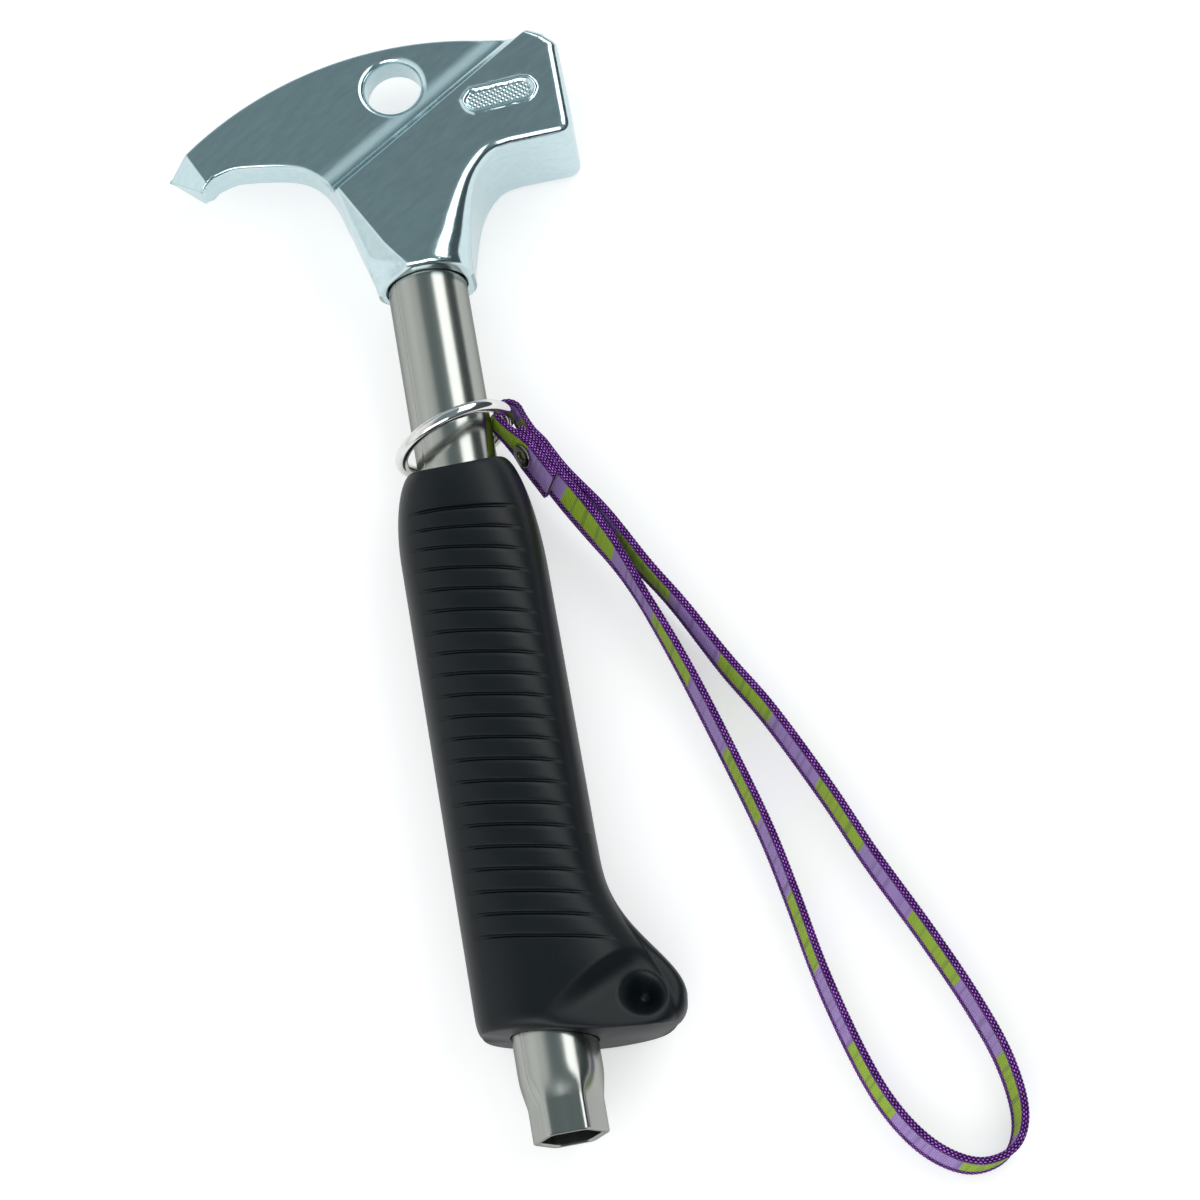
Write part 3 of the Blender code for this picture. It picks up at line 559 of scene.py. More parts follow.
def head_level(points, edges):
    """Half thickness of the head at points of its side view."""
    x, y = points[:, 0], points[:, 1]
    s = (points - RIDGE) @ UPHILL
    u = np.clip(RIDGE_RUN - s, 0, RIDGE_RUN)
    hollow = BLADE_HALF + RIDGE_HOLLOW - np.sqrt(RIDGE_HOLLOW ** 2 - u ** 2)
    step = -soft_min(-hollow, -(HEAD_HALF - math.tan(RIDGE_WALL) * s), 1.4)
    step = np.where(s < -0.3, 40, step)
    level = soft_min(np.full(len(x), HEAD_HALF), step, 0.5)
    w = (points - PICK_TIP) @ OUTWARD
    level = soft_min(level, -w * BLADE_HALF / PICK_BEVEL, 0.18)
    beyond = (points - FACET_A) @ FACET_SIDE
    facet = np.where((y < FACET_A[1] + 3) & (x < 4), HEAD_HALF - beyond * FACET_SLOPE, 40)
    level = soft_min(level, facet, 0.25)
    level = np.maximum(level, 0.3)
    drop = 0
    for a, b, ends in edges:
        distance, radius = nearest(points, a, b, ends)
        drop = drop + rounding(distance, np.minimum(radius, 0.86 * level))
    away = distance_to(points, np.array(CREASE))
    level = np.maximum(level - drop, 0.25) - CREASE_DEPTH * np.exp(-(away / CREASE_WIDTH) ** 2)
    rim = 0.5 + 2.0 * np.clip(level / HEAD_HALF, 0, 1) ** 3
    level = level - rounding(y - COLLAR_END, rim)
    level = level - rounding(from_hole(points), np.full(len(x), HOLE_FILLET))
    return np.maximum(level, 0.25)


def pill_level(points):
    """The bare plate on the near side of the poll: a raised uneven rim round a stippled floor."""
    q = points - np.array(PILL)
    c, s = math.cos(PILL_TILT), math.sin(PILL_TILT)
    along = q[:, 0] * c + q[:, 1] * s
    aside = -q[:, 0] * s + q[:, 1] * c
    out = np.hypot(np.maximum(np.abs(along) - (PILL_LONG - PILL_HALF), 0), aside) - PILL_HALF
    wobble = np.zeros(len(q))
    for k in np.flatnonzero(out < 1.2):
        wobble[k] = noise.noise(Vector((along[k] * 0.5, aside[k] * 0.5, 1)))
    turns = 2 * math.pi / STIPPLE_PITCH
    stipple = np.sin(along * turns) * np.sin(aside * turns)
    rim = np.exp(-((out + 0.80 + 0.35 * wobble) / PILL_RIM_WIDTH) ** 2) * PILL_RIM
    floor = 1 / (1 + np.exp((out + 1.55) / 0.16))
    return rim - floor * (PILL_FLOOR - STIPPLE_HEIGHT * stipple)


def inside(points, polygon):
    x, y = points[:, 0], points[:, 1]
    found = np.zeros(len(points), bool)
    for (ax, ay), (bx, by) in zip(polygon, np.roll(polygon, -1, 0)):
        cross = (ay > y) != (by > y)
        if by != ay:
            found ^= cross & (x < (bx - ax) * (y - ay) / (by - ay) + ax)
    return found


class Spread:
    """Points of a plane that keep a distance from each other."""

    def __init__(self):
        self.cells = {}
        self.points = []

    def add(self, point, apart):
        cell = (int(point[0] // 1.5), int(point[1] // 1.5))
        for i in (-1, 0, 1):
            for j in (-1, 0, 1):
                for other in self.cells.get((cell[0] + i, cell[1] + j), ()):
                    if (other[0] - point[0]) ** 2 + (other[1] - point[1]) ** 2 < apart ** 2:
                        return
        self.cells.setdefault(cell, []).append(point)
        self.points.append(tuple(point))


def rows_beside(start, step, across, offsets, steps, apart):
    """Rows of points beside a line, each with the distance that it keeps from the others."""
    return [(tuple(start + across * offset + step * k), apart) for offset in offsets for k in steps]


def head_places(border, inward, radii):
    """Places for points over the head's side view, closest together where its surface turns."""
    places = []
    for k in range(1, 8):
        share = 1 - math.cos(math.radians(min(15 * k, 90)))
        r = HOLE_RADIUS + HOLE_FILLET * share + (0.5 if k == 7 else 0)
        for i in range(HOLE_SEGMENTS):
            t = 2 * math.pi * (i + 0.5 * (k % 2)) / HOLE_SEGMENTS
            places.append(((r * math.cos(t), HOLE_Y + r * math.sin(t)), 0.1))
    c, s = math.cos(PILL_TILT), math.sin(PILL_TILT)
    for i in range(-50, 51):
        for j in range(-22, 23):
            u, v = i * 0.21 + 0.105 * (j % 2), j * 0.20
            out = math.hypot(max(abs(u) - (PILL_LONG - PILL_HALF), 0), v) - PILL_HALF
            if out < 0.4:
                places.append(((PILL[0] + u * c - v * s, PILL[1] + u * s + v * c), 0.12))
    offsets = (-0.9, -0.5, -0.25, -0.1, 0, 0.1, 0.22, 0.4, 0.7, 1.3, 2.2, 3.0, 3.4, 3.8, 4.2, 4.7, 5.4,
               6.2, 7.1, 8.1, 9.2, 10.3, 11.4)
    places += rows_beside(RIDGE, RIDGE_ALONG * 0.8, UPHILL, offsets, range(-40, 75), 0.09)
    step = np.array([OUTWARD[1], -OUTWARD[0]]) * 0.6
    bevel = PICK_TIP - OUTWARD * PICK_BEVEL
    places += rows_beside(bevel, step, OUTWARD, (-0.5, -0.2, 0, 0.2, 0.5), range(-45, 46), 0.15)
    offsets = (-0.4, -0.15, 0, 0.15, 0.4)
    places += rows_beside(FACET_A, FACET_LINE * 0.6, FACET_SIDE, offsets, range(-4, 60), 0.12)
    for start, end in zip(np.array(CREASE), np.array(CREASE[1:])):
        span = np.linalg.norm(end - start)
        line = (end - start) / span
        side = np.array([line[1], -line[0]])
        offsets = (-0.32, -0.2, -0.1, 0, 0.1, 0.2, 0.32)
        places += rows_beside(start, side, line * 0.5, range(int(span / 0.5)), offsets, 0.06)
    for turn in (14, 28, 42, 56, 70, 84, 100):
        for p, n, r in zip(border, inward, radii):
            d = r * (1 - math.cos(math.radians(min(turn, 90)))) + (0.35 if turn > 90 else 0)
            places.append((tuple(p + n * d), 0.35 * min(d, 0.8)))
    grid = 1.1
    for i in range(-60, 45):
        for j in range(0, 80):
            places.append(((i * grid + 0.5 * grid * (j % 2), COLLAR_END + j * grid * 0.87), 0.62))
    return places


def head_net(border, hole, places, edge_sets):
    """Triangles over the head's side view, and which of their points lie on its border and its hole."""
    spread = Spread()
    for p in [*border, *hole]:
        spread.add(tuple(p), 0)
    candidates = np.array([p for p, _ in places])
    distance = np.min([nearest(candidates, *edges)[0] for edges in edge_sets], axis=0)
    keep = inside(candidates, border) & (distance > 0.03) & (from_hole(candidates) > 0.03)
    keep &= candidates[:, 1] > COLLAR_END + 0.05
    for (p, apart), good in zip(places, keep):
        if good:
            spread.add(p, apart)
    size, count = len(border), len(hole)
    edges = loop_edges(0, size) + loop_edges(size, count)
    result = delaunay_2d_cdt([Vector(p) for p in spread.points], edges, [], 0, 1e-7, True)
    verts = np.array([(v.x, v.y) for v in result[0]])
    index = {ids[0]: n for n, ids in enumerate(result[3]) if ids}
    faces = [f for f in result[2] if len(f) == 3]
    centre = np.array([verts[list(f)].mean(0) for f in faces])
    good = inside(centre, border) & (from_hole(centre) > -0.002 * HOLE_RADIUS)
    faces = [f for f, g in zip(faces, good) if g]
    return verts, faces, [index[i] for i in range(size)], [index[size + i] for i in range(count)]


def slopes(level, points, step=0.02):
    """How a height over points changes along x and along y."""
    ways = [np.array([step, 0]), np.array([0, step])]
    return np.stack([(level(points + way) - level(points - way)) / (2 * step) for way in ways], 1)


def build_head():
    """The forging: both sides over one net of triangles, its edge, its hole and the collar's bore."""
    right, left = head_outline()
    foot_start, foot_end = len(right) - 1, len(right) - 1 + FOOT_STEPS
    turns = [math.pi * k / FOOT_STEPS for k in range(1, FOOT_STEPS)]
    foot = [(COLLAR_RADIUS * math.cos(t), COLLAR_END, FOOT_RADIUS) for t in turns]
    outline = np.array(right + foot + left)
    border, radii = outline[:, :2], outline[:, 2]
    size = len(border)
    pick = size - (TIP_STEPS - 1 + len(PICK_BEAK))
    after, radii_after = np.roll(border, -1, 0), np.roll(radii, -1)
    sides = [np.r_[pick:size, 0:foot_start], np.r_[foot_end:pick]]
    edge_sets = [(border[k], after[k], (radii[k], radii_after[k])) for k in sides]
    hole_turns = turns_of(HOLE_SEGMENTS)
    hole = np.array([(HOLE_RADIUS * math.cos(t), HOLE_Y + HOLE_RADIUS * math.sin(t)) for t in hole_turns])
    course = after - np.roll(border, 1, 0)
    course /= np.linalg.norm(course, axis=1)[:, None]
    inward = np.stack([course[:, 1], -course[:, 0]], 1)
    verts, faces, rim, hole_rim = head_net(border, hole, head_places(border, inward, radii), edge_sets)

    def level_at(points):
        return head_level(points, edge_sets)

    level = level_at(verts)
    tilt, pressed = slopes(level_at, verts), slopes(pill_level, verts)
    ones = np.ones((len(verts), 1))
    normals = np.stack([np.hstack([-tilt - pressed, ones]), np.hstack([-tilt, -ones])], 1).reshape(-1, 3)
    for k in range(size):
        if not foot_start < k < foot_end:
            normals[2 * rim[k]:2 * rim[k] + 2] = (-inward[k][0], -inward[k][1], 0)
    for k, t in zip(hole_rim, hole_turns):
        normals[2 * k:2 * k + 2] = (-math.cos(t), -math.sin(t), 0)
    scoop = COLLAR_LIFT + COLLAR_SCOOP * (level / COLLAR_RADIUS) ** 2
    scoop = scoop * np.clip(1 - (verts[:, 1] - COLLAR_END) / 10, 0, 1)
    bm = bmesh.new()
    top, low = [], []
    for (x, y), z, p, d in zip(verts, level, pill_level(verts), scoop):
        top.append(bm.verts.new(world(x, y + d, z + p)))
        low.append(bm.verts.new(world(x, y + d, -z)))
    for i, j, k in faces:
        bm.faces.new((top[i], top[j], top[k]))
        bm.faces.new((low[j], low[i], low[k]))
    for k in range(size):
        i, j = rim[k], rim[(k + 1) % size]
        if not foot_start <= k < foot_end:
            bm.faces.new((top[j], top[i], low[i], low[j]))
    bridge(bm, [top[k] for k in hole_rim], [low[k] for k in hole_rim])
    mouth = [top[k] for k in rim[foot_start:foot_end + 1]]
    mouth += [low[k] for k in reversed(rim[foot_start:foot_end + 1])]
    turns = [math.atan2((v.co - AXIS).z, (v.co - AXIS).x) for v in mouth]
    previous, more = mouth, []
    for wider, lift in ((0.35, 0), (0.05, 0.3), (0, 6)):
        loop, radius = [], BORE + wider
        for t in turns:
            z = radius * math.sin(t)
            y = COLLAR_END + COLLAR_LIFT + COLLAR_SCOOP * (z / COLLAR_RADIUS) ** 2 + lift
            loop.append(bm.verts.new(world(radius * math.cos(t), y, z)))
            more.append((-math.cos(t), 0.0, -math.sin(t)) if lift else (0.0, -1.0, 0.0))
        bridge(bm, previous, loop)
        previous = loop
    every = np.concatenate([normals, np.array(more)])
    every /= np.linalg.norm(every, axis=1)[:, None]
    return object_from(bm, "head_forging", normals=every)


def flare(y):
    """How far the grip's right side stands out toward its tail at a height."""
    t = (GRIP_BOTTOM + TAIL_LENGTH - y) / (TAIL_LENGTH - TAIL_CREST)
    t = np.clip(t, 0, 1) ** FLARE_DELAY
    return (TAIL_REACH - GRIP_WIDTH / 2) * t * t * (3 - 2 * t)


# The lower edge of the grip, from its left corner round the end of the tail
GRIP_LOWER = [(-17.0, 27.6), (-16.2, 26.8), (-13.6, 26.1), (-8.8, 25.2), (-3.0, 24.1), (3.0, 22.9),
              (10.6, 21.7), (18.0, 21.15), (24.0, 21.05), (27.6, 21.6), (30.1, 23.0), (31.6, 25.4),
              (32.2, 28.8)]

# One groove, as (distance above its lip, depth)
GROOVE = [(-0.12, 0.02), (0, 0.10), (0.06, 0.60), (0.14, 0.95), (0.34, 0.95), (0.55, 0.62), (0.78, 0.58),
          (0.88, 0.72), (0.98, 0.72), (1.06, 0.34), (1.25, 0.24), (2.2, 0.17), (3.2, 0.10), (4.3, 0.03)]


def grip_stations():
    """Heights along the tube's axis from rim to the last groove, each with the groove's depth there."""
    first = GRIP_TOP - GROOVE_FIRST
    stations = []
    for i in range(GROOVES):
        for rise, depth in GROOVE if i else [*GROOVE[:10], (1.2, 0.06), (1.4, 0)]:
            stations.append((first - GROOVE_PITCH * i + rise, depth))
    for k in range(1, 31):
        stations.append((first + 1.4 + (GROOVE_FIRST - 1.4) * math.sin(math.pi / 2 * k / 30), 0))
    return sorted(stations)


def grip_girth(station):
    """The share of the shoulder above a height, and half the grip's width and thickness there."""
    below = np.clip((GRIP_TOP - station) / GRIP_SHOULDER, 0, 1)
    swell = (1 - (1 - below) ** 2) ** GRIP_SWELL_POWER
    rim = TUBE_RADIUS + GRIP_RIM
    return below, rim + (GRIP_WIDTH / 2 - rim) * swell, rim + (GRIP_HALF - rim) * swell


def grip_level(x, y, station, depth, tail):
    """Half thickness of the grip at one place of its side view."""
    below, wide, thick = grip_girth(station)
    heel = np.clip((y - np.interp(x, *zip(*GRIP_LOWER))) / HEEL_RISE, 0, 1)
    draw = 1 - np.sqrt(1 - (1 - heel) ** 2)
    right = wide + BODY_FLARE * flare(station - GRIP_SLANT * below * wide)
    reach = np.where(x > 0, right, wide) - HEEL_SIDE * draw
    up = np.maximum(1 - np.clip(np.abs(x) / reach, 0, 1) ** GRIP_SQUARENESS, 0) ** (1 / GRIP_SQUARENESS)
    pressed = depth * np.clip((up - GROOVE_SPREAD) / GROOVE_FADE, 0, 1)
    body = up * (thick - HEEL_DRAW * draw - pressed)
    nose = np.clip(1 - distance_to(np.stack([x, y], 1), tail) / TAIL_NOSE, 0, 1)
    plate = TAIL_HALF * (1 - nose ** 3) ** (1 / 3)
    plate = np.where((x > 6) & (y < GRIP_BOTTOM + TAIL_LENGTH), plate, 0)
    level = -soft_min(-body, -plate, 4.0)
    level = np.where(plate > 0, level, body)
    downhill = np.array([math.cos(STEP_TURN), math.sin(STEP_TURN)])
    dx, dy = x - STEP_CORNER[0], y - STEP_CORNER[1]
    s = dx * downhill[0] + dy * downhill[1]
    left = dx * downhill[1] - dy * downhill[0]
    drop = GRIP_HALF - TAIL_HALF
    hollow = (STEP_RUN ** 2 + drop ** 2) / (2 * drop)
    u = np.clip(STEP_RUN - s, 0, hollow - 0.02)
    step = TAIL_HALF + hollow - np.sqrt(hollow ** 2 - u ** 2) + np.maximum(left, 0) * STEP_RISE
    step = np.where(s < -1.5, 40, step)
    level = np.where(step < 30, soft_min(level, step, 2.0), level)
    out = np.hypot(x - DIMPLE[0], y - DIMPLE[1])
    t = np.clip((out - DIMPLE_FLOOR) / (DIMPLE_RADIUS + 0.4 - DIMPLE_FLOOR), 0, 1)
    t = t * t * (3 - 2 * t)
    level = level * t + (TAIL_HALF - DIMPLE_DEPTH) * (1 - t)
    return np.maximum(level, 0)


def heel_row(rise, share, low_x, low_y):
    """A row of points at a share of the way from the grip's lower edge up to its last groove."""
    half = GRIP_WIDTH / 2
    last = GRIP_TOP - GROOVE_FIRST - GROOVE_PITCH * (GROOVES - 1)
    x_left, x_right = -half, half
    for _ in range(SETTLE):
        x = (x_left + x_right) / 2 + share * (x_right - x_left) / 2
        bottom = np.interp(x, low_x, low_y)
        y = bottom + (last - GRIP_SLANT * x - bottom) * rise
        heel = min(max((y[-1] - low_y[0]) / HEEL_RISE, 0), 1)
        x_left = -half + HEEL_SIDE * (1 - math.sqrt(1 - (1 - heel) ** 2))
        if rise == 0:
            x_right = TAIL_REACH
        else:
            x_right = 0.7 * x_right + 0.3 * min(half + float(flare(y[0])), TAIL_REACH)
    return x, y


def body_row(station, share):
    """A slanted row of points from one side of the grip to the other."""
    half = GRIP_WIDTH / 2
    below, wide, _ = grip_girth(station)
    x_left, x_right = -half, half
    for _ in range(SETTLE):
        x = (x_left + x_right) / 2 + share * (x_right - x_left) / 2
        y = station - GRIP_SLANT * below * x
        x_left = -wide
        x_right = max(wide, half + float(flare(y[0])) if below >= 1 else wide)
    return x, y


def close_heel(bm, loop, low_x, low_y):
    """The grip's lower face, with the mouth of the bore that the tube runs through."""
    outline = [((v.co - AXIS) / MM).xz for v in loop]
    size, count = len(loop), 72
    flat = outline + [Vector((BORE * math.cos(t), BORE * math.sin(t))) for t in turns_of(count)]
    result = delaunay_2d_cdt(flat, loop_edges(0, size) + loop_edges(size, count), [], 0, 1e-7, True)
    outline = np.array(outline)
    mouth = []
    verts = {}
    for n, ids in enumerate(result[3]):
        if ids and ids[0] < size:
            verts[n] = loop[ids[0]]
        else:
            x, z = result[0][n]
            verts[n] = bm.verts.new(world(x, float(np.interp(x, low_x, low_y)), z))
            mouth.append(verts[n])
    places = np.array(result[0])
    for f in result[2]:
        centre = places[list(f)].mean(0)
        if inside(centre[None], outline)[0] and np.hypot(*centre) > BORE * 0.999:
            bm.faces.new([verts[i] for i in f])
    mouth.sort(key=lambda v: math.atan2((v.co - AXIS).z, (v.co - AXIS).x))
    bridge(bm, mouth, [bm.verts.new(v.co + Vector((0, 8 * MM, 0))) for v in mouth])


def build_grip():
    """The moulded grip: slanted rows of points over both sides, its heel and its rim."""
    levels = np.linspace(GRIP_BOTTOM + TAIL_LENGTH, GRIP_LOWER[-1][1] + 0.4, 60)
    lower = smooth_run(GRIP_LOWER, 6)
    tail = np.array([(GRIP_WIDTH / 2 + float(flare(y)), y) for y in levels] + lower[::-1])
    low_x, low_y = np.array(lower).T
    share = np.cos(np.pi * np.arange(GRIP_COLUMNS + 1) / GRIP_COLUMNS)
    sheets = []
    for rise in (0, 0.006, 0.014, 0.024, 0.036, *np.linspace(0.05, 0.985, 52)):
        x, y = heel_row(rise, share, low_x, low_y)
        sheets.append((x, y, grip_level(x, y, y + GRIP_SLANT * x, 0, tail)))
    for station, depth in grip_stations():
        x, y = body_row(station, share)
        z = grip_level(x, y, station, depth, tail)
        above = 1 - grip_girth(station)[0]
        sheets.append((x, y - GRIP_RIM_DIP * above ** 2 * (z / max(z.max(), 1)) ** 2, z))
    bm = bmesh.new()
    loops = []
    for x, y, z in sheets:
        z[0] = z[-1] = 0
        near = [bm.verts.new(world(a, b, c)) for a, b, c in zip(x, y, z)]
        far = [bm.verts.new(world(a, b, -c)) for a, b, c in zip(x[1:-1], y[1:-1], z[1:-1])]
        loops.append(near + far[::-1])
    for low, high in zip(loops, loops[1:]):
        bridge(bm, low, high)
    turns = [math.atan2((v.co - AXIS).z, (v.co - AXIS).x) for v in loops[-1]]
    ring = loops[-1]
    for wider, lift in ((0.9, 0.35), (0.25, 0.05), (0, -0.4), (0, -6)):
        loop, radius = [], BORE + wider
        for t in turns:
            y = GRIP_TOP - GRIP_RIM_DIP * math.sin(t) ** 2 + lift
            loop.append(bm.verts.new(world(radius * math.cos(t), y, radius * math.sin(t))))
        bridge(bm, ring, loop)
        ring = loop
    close_heel(bm, loops[0], low_x, low_y)
    return object_from(bm, "grip_moulding", 38)


def nodes_of(name, settings):
    """A new material, its node tree, and its shader with some inputs set."""
    made = bpy.data.materials.new(name)
    made.use_nodes = True
    tree = made.node_tree
    shader = tree.nodes["Principled BSDF"]
    for key, value in settings.items():
        shader.inputs[key].default_value = value
    return made, tree, shader


def attribute(tree, name):
    node = tree.nodes.new("ShaderNodeAttribute")
    node.attribute_name = name
    return node.outputs["Fac"]


def object_place(tree):
    return tree.nodes.new("ShaderNodeTexCoord").outputs["Object"]


def noise_of(tree, place, scale, detail=2):
    node = tree.nodes.new("ShaderNodeTexNoise")
    node.inputs["Scale"].default_value = scale
    node.inputs["Detail"].default_value = detail
    tree.links.new(place, node.inputs["Vector"])
    return node.outputs["Fac"]


def ranged(tree, value, low, high, start=0, end=1, smooth=False):
    """A value of the range from start to end, moved to the range from low to high."""
    node = tree.nodes.new("ShaderNodeMapRange")
    node.interpolation_type = "SMOOTHSTEP" if smooth else "LINEAR"
    for name, number in (("From Min", start), ("From Max", end), ("To Min", low), ("To Max", high)):
        node.inputs[name].default_value = number
    tree.links.new(value, node.inputs["Value"])
    return node.outputs["Result"]


def bump_from(tree, shader, height, strength, distance):
    node = tree.nodes.new("ShaderNodeBump")
    node.inputs["Strength"].default_value = strength
    node.inputs["Distance"].default_value = distance
    tree.links.new(height, node.inputs["Height"])
    tree.links.new(node.outputs["Normal"], shader.inputs["Normal"])


def sum_of(tree, operation, a, b=0):
    """The result of one sum, of sockets or numbers."""
    node = tree.nodes.new("ShaderNodeMath")
    node.operation = operation
    for socket, value in zip(node.inputs, (a, b)):
        if isinstance(value, (int, float)):
            socket.default_value = value
        else:
            tree.links.new(value, socket)
    return node.outputs[0]


def scaled(tree, value, factor, offset=0.0):
    node = sum_of(tree, "MULTIPLY_ADD", value, factor).node
    node.inputs[2].default_value = offset
    return node.outputs[0]


def blend_of(tree, factor, a, b):
    """A mix of two colours or colour sockets."""
    node = tree.nodes.new("ShaderNodeMix")
    node.data_type = "RGBA"
    tree.links.new(factor, node.inputs["Factor"])
    for socket, value in ((node.inputs["A"], a), (node.inputs["B"], b)):
        if isinstance(value, tuple):
            socket.default_value = (*value, 1)
        else:
            tree.links.new(value, socket)
    return node.outputs["Result"]


def ramp_of(tree, value, stops):
    """Colours along a value, from a list of (position, colour)."""
    node = tree.nodes.new("ShaderNodeValToRGB")
    tree.links.new(value, node.inputs["Fac"])
    elements = node.color_ramp.elements
    while len(elements) > 1:
        elements.remove(elements[-1])
    for k, (position, colour) in enumerate(stops):
        element = elements[0] if k == 0 else elements.new(position)
        element.position = position
        element.color = (*colour, 1)
    return node.outputs["Color"]


def metal(name, colour, roughness, grain_scale, grain, stretch=(1, 1, 1), turn=0.0, rim=1.0):
    """A bright metal with a faint uneven finish, drawn out along one direction."""
    made, tree, shader = nodes_of(name, {"Metallic": 1, "Specular Tint": (rim, rim, rim, 1)})
    mapping = tree.nodes.new("ShaderNodeMapping")
    mapping.vector_type = "TEXTURE"
    mapping.inputs["Rotation"].default_value = (0, 0, turn)
    mapping.inputs["Scale"].default_value = stretch
    tree.links.new(object_place(tree), mapping.inputs["Vector"])
    fine = noise_of(tree, mapping.outputs["Vector"], grain_scale, 6)
    tree.links.new(ranged(tree, fine, roughness * 0.75, roughness * 1.35), shader.inputs["Roughness"])
    darker = tuple(c * 0.90 for c in colour)
    lighter = tuple(min(c * 1.08, 1) for c in colour)
    tree.links.new(blend_of(tree, fine, darker, lighter), shader.inputs["Base Color"])
    bump_from(tree, shader, fine, grain, 0.0002)
    return made


def rubber():
    """Matte moulded rubber, a little uneven in tone and gloss, with a fine grain."""
    made, tree, shader = nodes_of("moulded_rubber", {"Specular IOR Level": 0.31})
    place = object_place(tree)
    wide = noise_of(tree, place, 60)
    tint = blend_of(tree, wide, (0.0014, 0.0036, 0.0050), (0.0030, 0.0060, 0.0084))
    tree.links.new(tint, shader.inputs["Base Color"])
    tree.links.new(ranged(tree, wide, 0.36, 0.48), shader.inputs["Roughness"])
    bump_from(tree, shader, noise_of(tree, place, 2600, 3), 0.25, 0.0001)
    return made


def webbing():
    """Green and lilac blocks that change sides, fine ribs across, painted shade in dark bands across the
    strip, and a beaded purple selvedge with painted shade between its beads and painted highlights on
    them.
    """
    made, tree, shader = nodes_of("woven_webbing", {"Roughness": 0.6, "Specular IOR Level": 0.2})
    along, block, around, across = (attribute(tree, n) for n in ("arc", "block", "around", "across"))
    uneven = scaled(tree, noise_of(tree, object_place(tree), 450), 1.1, -0.55)
    place = sum_of(tree, "ADD", along, scaled(tree, uneven, 0.25))
    rib = scaled(tree, sum_of(tree, "SINE", scaled(tree, place, 2 * math.pi / 0.52)), 0.5, 0.5)
    cord = scaled(tree, sum_of(tree, "SINE", scaled(tree, across, 2 * math.pi / 0.45)), 0.5, 0.5)
    weave = scaled(tree, sum_of(tree, "ADD", rib, scaled(tree, cord, 0.6)), 0.62)
    green = blend_of(tree, weave, (0.270, 0.420, 0.020), (0.480, 0.700, 0.060))
    lilac = blend_of(tree, weave, (0.330, 0.190, 0.520), (0.560, 0.400, 0.820))
    face = blend_of(tree, block, lilac, green)
    # Painted shade: dark bands across the strip, where crumples of the webbing would lie in shade.
    crumple_shade_noise = tree.nodes.new("ShaderNodeTexNoise")
    crumple_shade_noise.noise_dimensions = "1D"
    crumple_shade_noise.inputs["Scale"].default_value = 0.55
    tree.links.new(along, crumple_shade_noise.inputs["W"])
    shade = ranged(tree, crumple_shade_noise.outputs["Fac"], 0.35, 0, 0.30, 0.50)
    face = blend_of(tree, shade, face, (0.05, 0.04, 0.09))

    row = sum_of(tree, "ROUND", scaled(tree, around, 1 / BEAD_ROW))
    off_row = scaled(tree, sum_of(tree, "SUBTRACT", scaled(tree, around, 1 / BEAD_ROW), row), 2.0)
    odd = sum_of(tree, "PINGPONG", row, 1)
    phase = sum_of(tree, "ADD", scaled(tree, place, 1 / BEAD_PITCH), scaled(tree, odd, 0.5))
    bead = sum_of(tree, "ABSOLUTE", sum_of(tree, "SINE", scaled(tree, phase, math.pi)))
    dome = sum_of(tree, "SUBTRACT", 1, sum_of(tree, "MULTIPLY", off_row, off_row))
    height = sum_of(tree, "MULTIPLY", bead, sum_of(tree, "MAXIMUM", dome, 0))
    height = sum_of(tree, "ADD", height, scaled(tree, uneven, 0.5))
    # Painted shade in the gaps between the beads and a painted highlight on their tops, over the purple of
    # the selvedge.
    bead_colour_and_painted_light = ramp_of(tree, height, [(0.18, (0.014, 0.001, 0.034)), (0.45, (0.100, 0.009, 0.200)),
                                    (0.72, (0.270, 0.035, 0.490)), (0.95, (0.680, 0.320, 0.950))])
    lower = sum_of(tree, "LESS_THAN", across, 0)
    from_edge = sum_of(tree, "SUBTRACT", sum_of(tree, "ABSOLUTE", around), lower)
    trim = ranged(tree, from_edge, 1, 0, SELVEDGE + 0.45, SELVEDGE + 0.65)
    tree.links.new(blend_of(tree, trim, face, bead_colour_and_painted_light), shader.inputs["Base Color"])
    ribs = sum_of(tree, "MULTIPLY", scaled(tree, weave, 0.4), sum_of(tree, "SUBTRACT", 1, trim))
    relief = sum_of(tree, "ADD", sum_of(tree, "MULTIPLY", height, trim), ribs)
    bump_from(tree, shader, relief, 0.9, 0.0005)
    return made


def light(name, place, target, size, power, mirror=True):
    """A rectangular lamp that faces its target, its second side level with the handle."""
    data = bpy.data.lights.new(name, "AREA")
    data.shape = "RECTANGLE"
    data.size, data.size_y = size
    data.energy = power
    made = linked(name, data)
    z = (Vector(place) - Vector(target)).normalized()
    y = (Vector((0, 1, 0)) - z * z.y).normalized()
    made.matrix_world = Matrix.Translation(place) @ Matrix((y.cross(z), y, z)).transposed().to_4x4()
    made.visible_glossy = mirror


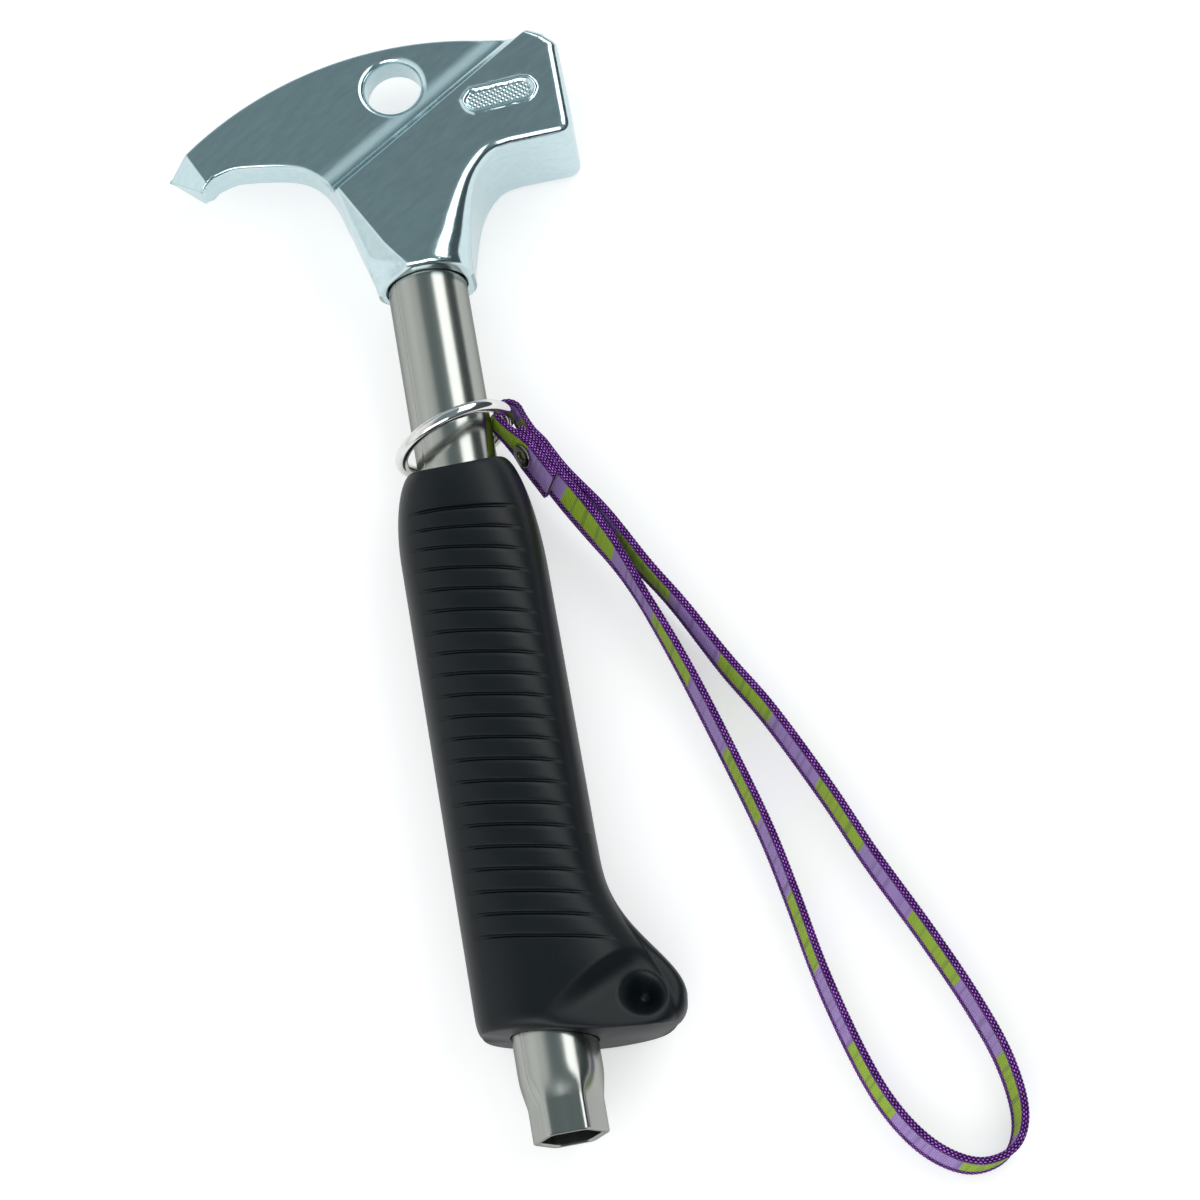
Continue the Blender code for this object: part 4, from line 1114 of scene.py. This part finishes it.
def studio_world():
    """Slate overhead and to the right, light grey to the left, a pale card high beyond the head."""
    world_data = bpy.data.worlds.new("studio")
    bpy.context.scene.world = world_data
    world_data.use_nodes = True
    tree = world_data.node_tree
    split = tree.nodes.new("ShaderNodeSeparateXYZ")
    tree.links.new(tree.nodes.new("ShaderNodeTexCoord").outputs["Generated"], split.inputs[0])
    turn = sum_of(tree, "ARCTAN2", split.outputs["X"], split.outputs["Z"])
    stops = []
    for degrees, value in [(-180, 0.9), (-100, 0.85), (-84, 0.80), (-74, 0.95), (-62, 1.0), (-50, 0.88),
                           (-33, 0.78), (-26, 0.58), (-18, 0.28), (0, 0.215), (14, 0.255), (50, 0.20),
                           (62, 0.08), (90, 0.08), (100, 0.5), (180, 0.9)]:
        cool = min(max((0.6 - value) / 0.3, 0), 1)
        colour = (value * (0.97 - 0.18 * cool), value, value * (1 + 0.06 * cool))
        stops.append((0.5 + degrees / 360, colour))
    sky = ramp_of(tree, scaled(tree, turn, 1 / (2 * math.pi), 0.5), stops)
    beyond = split.outputs["Y"]
    card = blend_of(tree, ranged(tree, split.outputs["Z"], 0, 1, 0.12, 0.46, True), (0.16, 0.22, 0.25),
                    (0.54, 0.62, 0.64))
    sky = blend_of(tree, ranged(tree, beyond, 0, 1, 0.62, 0.80, True), sky, card)
    nearer = scaled(tree, beyond, -1)
    sky = blend_of(tree, ranged(tree, nearer, 0, 1, 0.80, 0.92, True), sky, (0.015, 0.018, 0.03))
    tree.links.new(sky, tree.nodes["Background"].inputs["Color"])


def pale_floor():
    """A floor that shows white and keeps the object's shadow."""
    bm = bmesh.new()
    bmesh.ops.create_grid(bm, x_segments=1, y_segments=1, size=4)
    floor = object_from(bm, "floor")
    made, tree, shader = nodes_of("pale_floor", {
        "Base Color": (0.6, 0.6, 0.6, 1), "Roughness": 1, "Specular IOR Level": 0,
        "Emission Color": (1, 1, 1, 1)})
    path = tree.nodes.new("ShaderNodeLightPath").outputs
    mirrored = sum_of(tree, "MAXIMUM", path["Is Glossy Ray"], path["Is Transmission Ray"])
    seen = sum_of(tree, "MAXIMUM", path["Is Camera Ray"], scaled(tree, mirrored, 0.78))
    tree.links.new(sum_of(tree, "MULTIPLY", seen, 0.54), shader.inputs["Emission Strength"])
    floor.data.materials.append(made)


def surroundings():
    bpy.context.scene.view_settings.view_transform = "Standard"
    studio_world()
    light("softbox_right", (0.60, 0.40, 0.77), (0, 0.05, 0), (0.53, 1.5), 5.8)
    light("softbox_front", (-0.10, -0.855, 0.69), (0, 0, 0), (0.85, 0.57), 4.0)
    light("fill", (-0.3, 0.1, 1.6), (0, 0, 0), (2.0, 2.0), 5, mirror=False)
    pale_floor()


def dress(piece, finish, body, node):
    piece.data.materials.append(finish)
    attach(piece, body)
    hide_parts(node)


camera()
strap, path, strap_length = build_strap()
rivet, washer = build_rivet()
dress(strap, webbing(), "strap", "strap")
dark = metal("dark_nickel_finish", (0.26, 0.25, 0.25), 0.24, 900, 0.15)
dress(rivet, dark, "strap", "rivet")
dress(washer, dark, "strap", "rivet_washer")
zinc = metal("zinc_plate", (0.63, 0.78, 0.81), 0.16, 700, 0.14, (3.5, 1, 1), RIDGE_ANGLE)
dress(build_head(), zinc, "hammer", "head")
steel = metal("brushed_tube", (0.43, 0.44, 0.41), 0.21, 420, 0.12, (1, 33, 1), 0, 0.5)
dress(build_tube(), steel, "hammer", "handle_tube")
nickel = metal("nickel_wire", (0.80, 0.79, 0.77), 0.07, 700, 0.05)
dress(build_ring(), nickel, "ring", "ring")
dress(build_grip(), rubber(), "hammer", "grip")
surroundings()
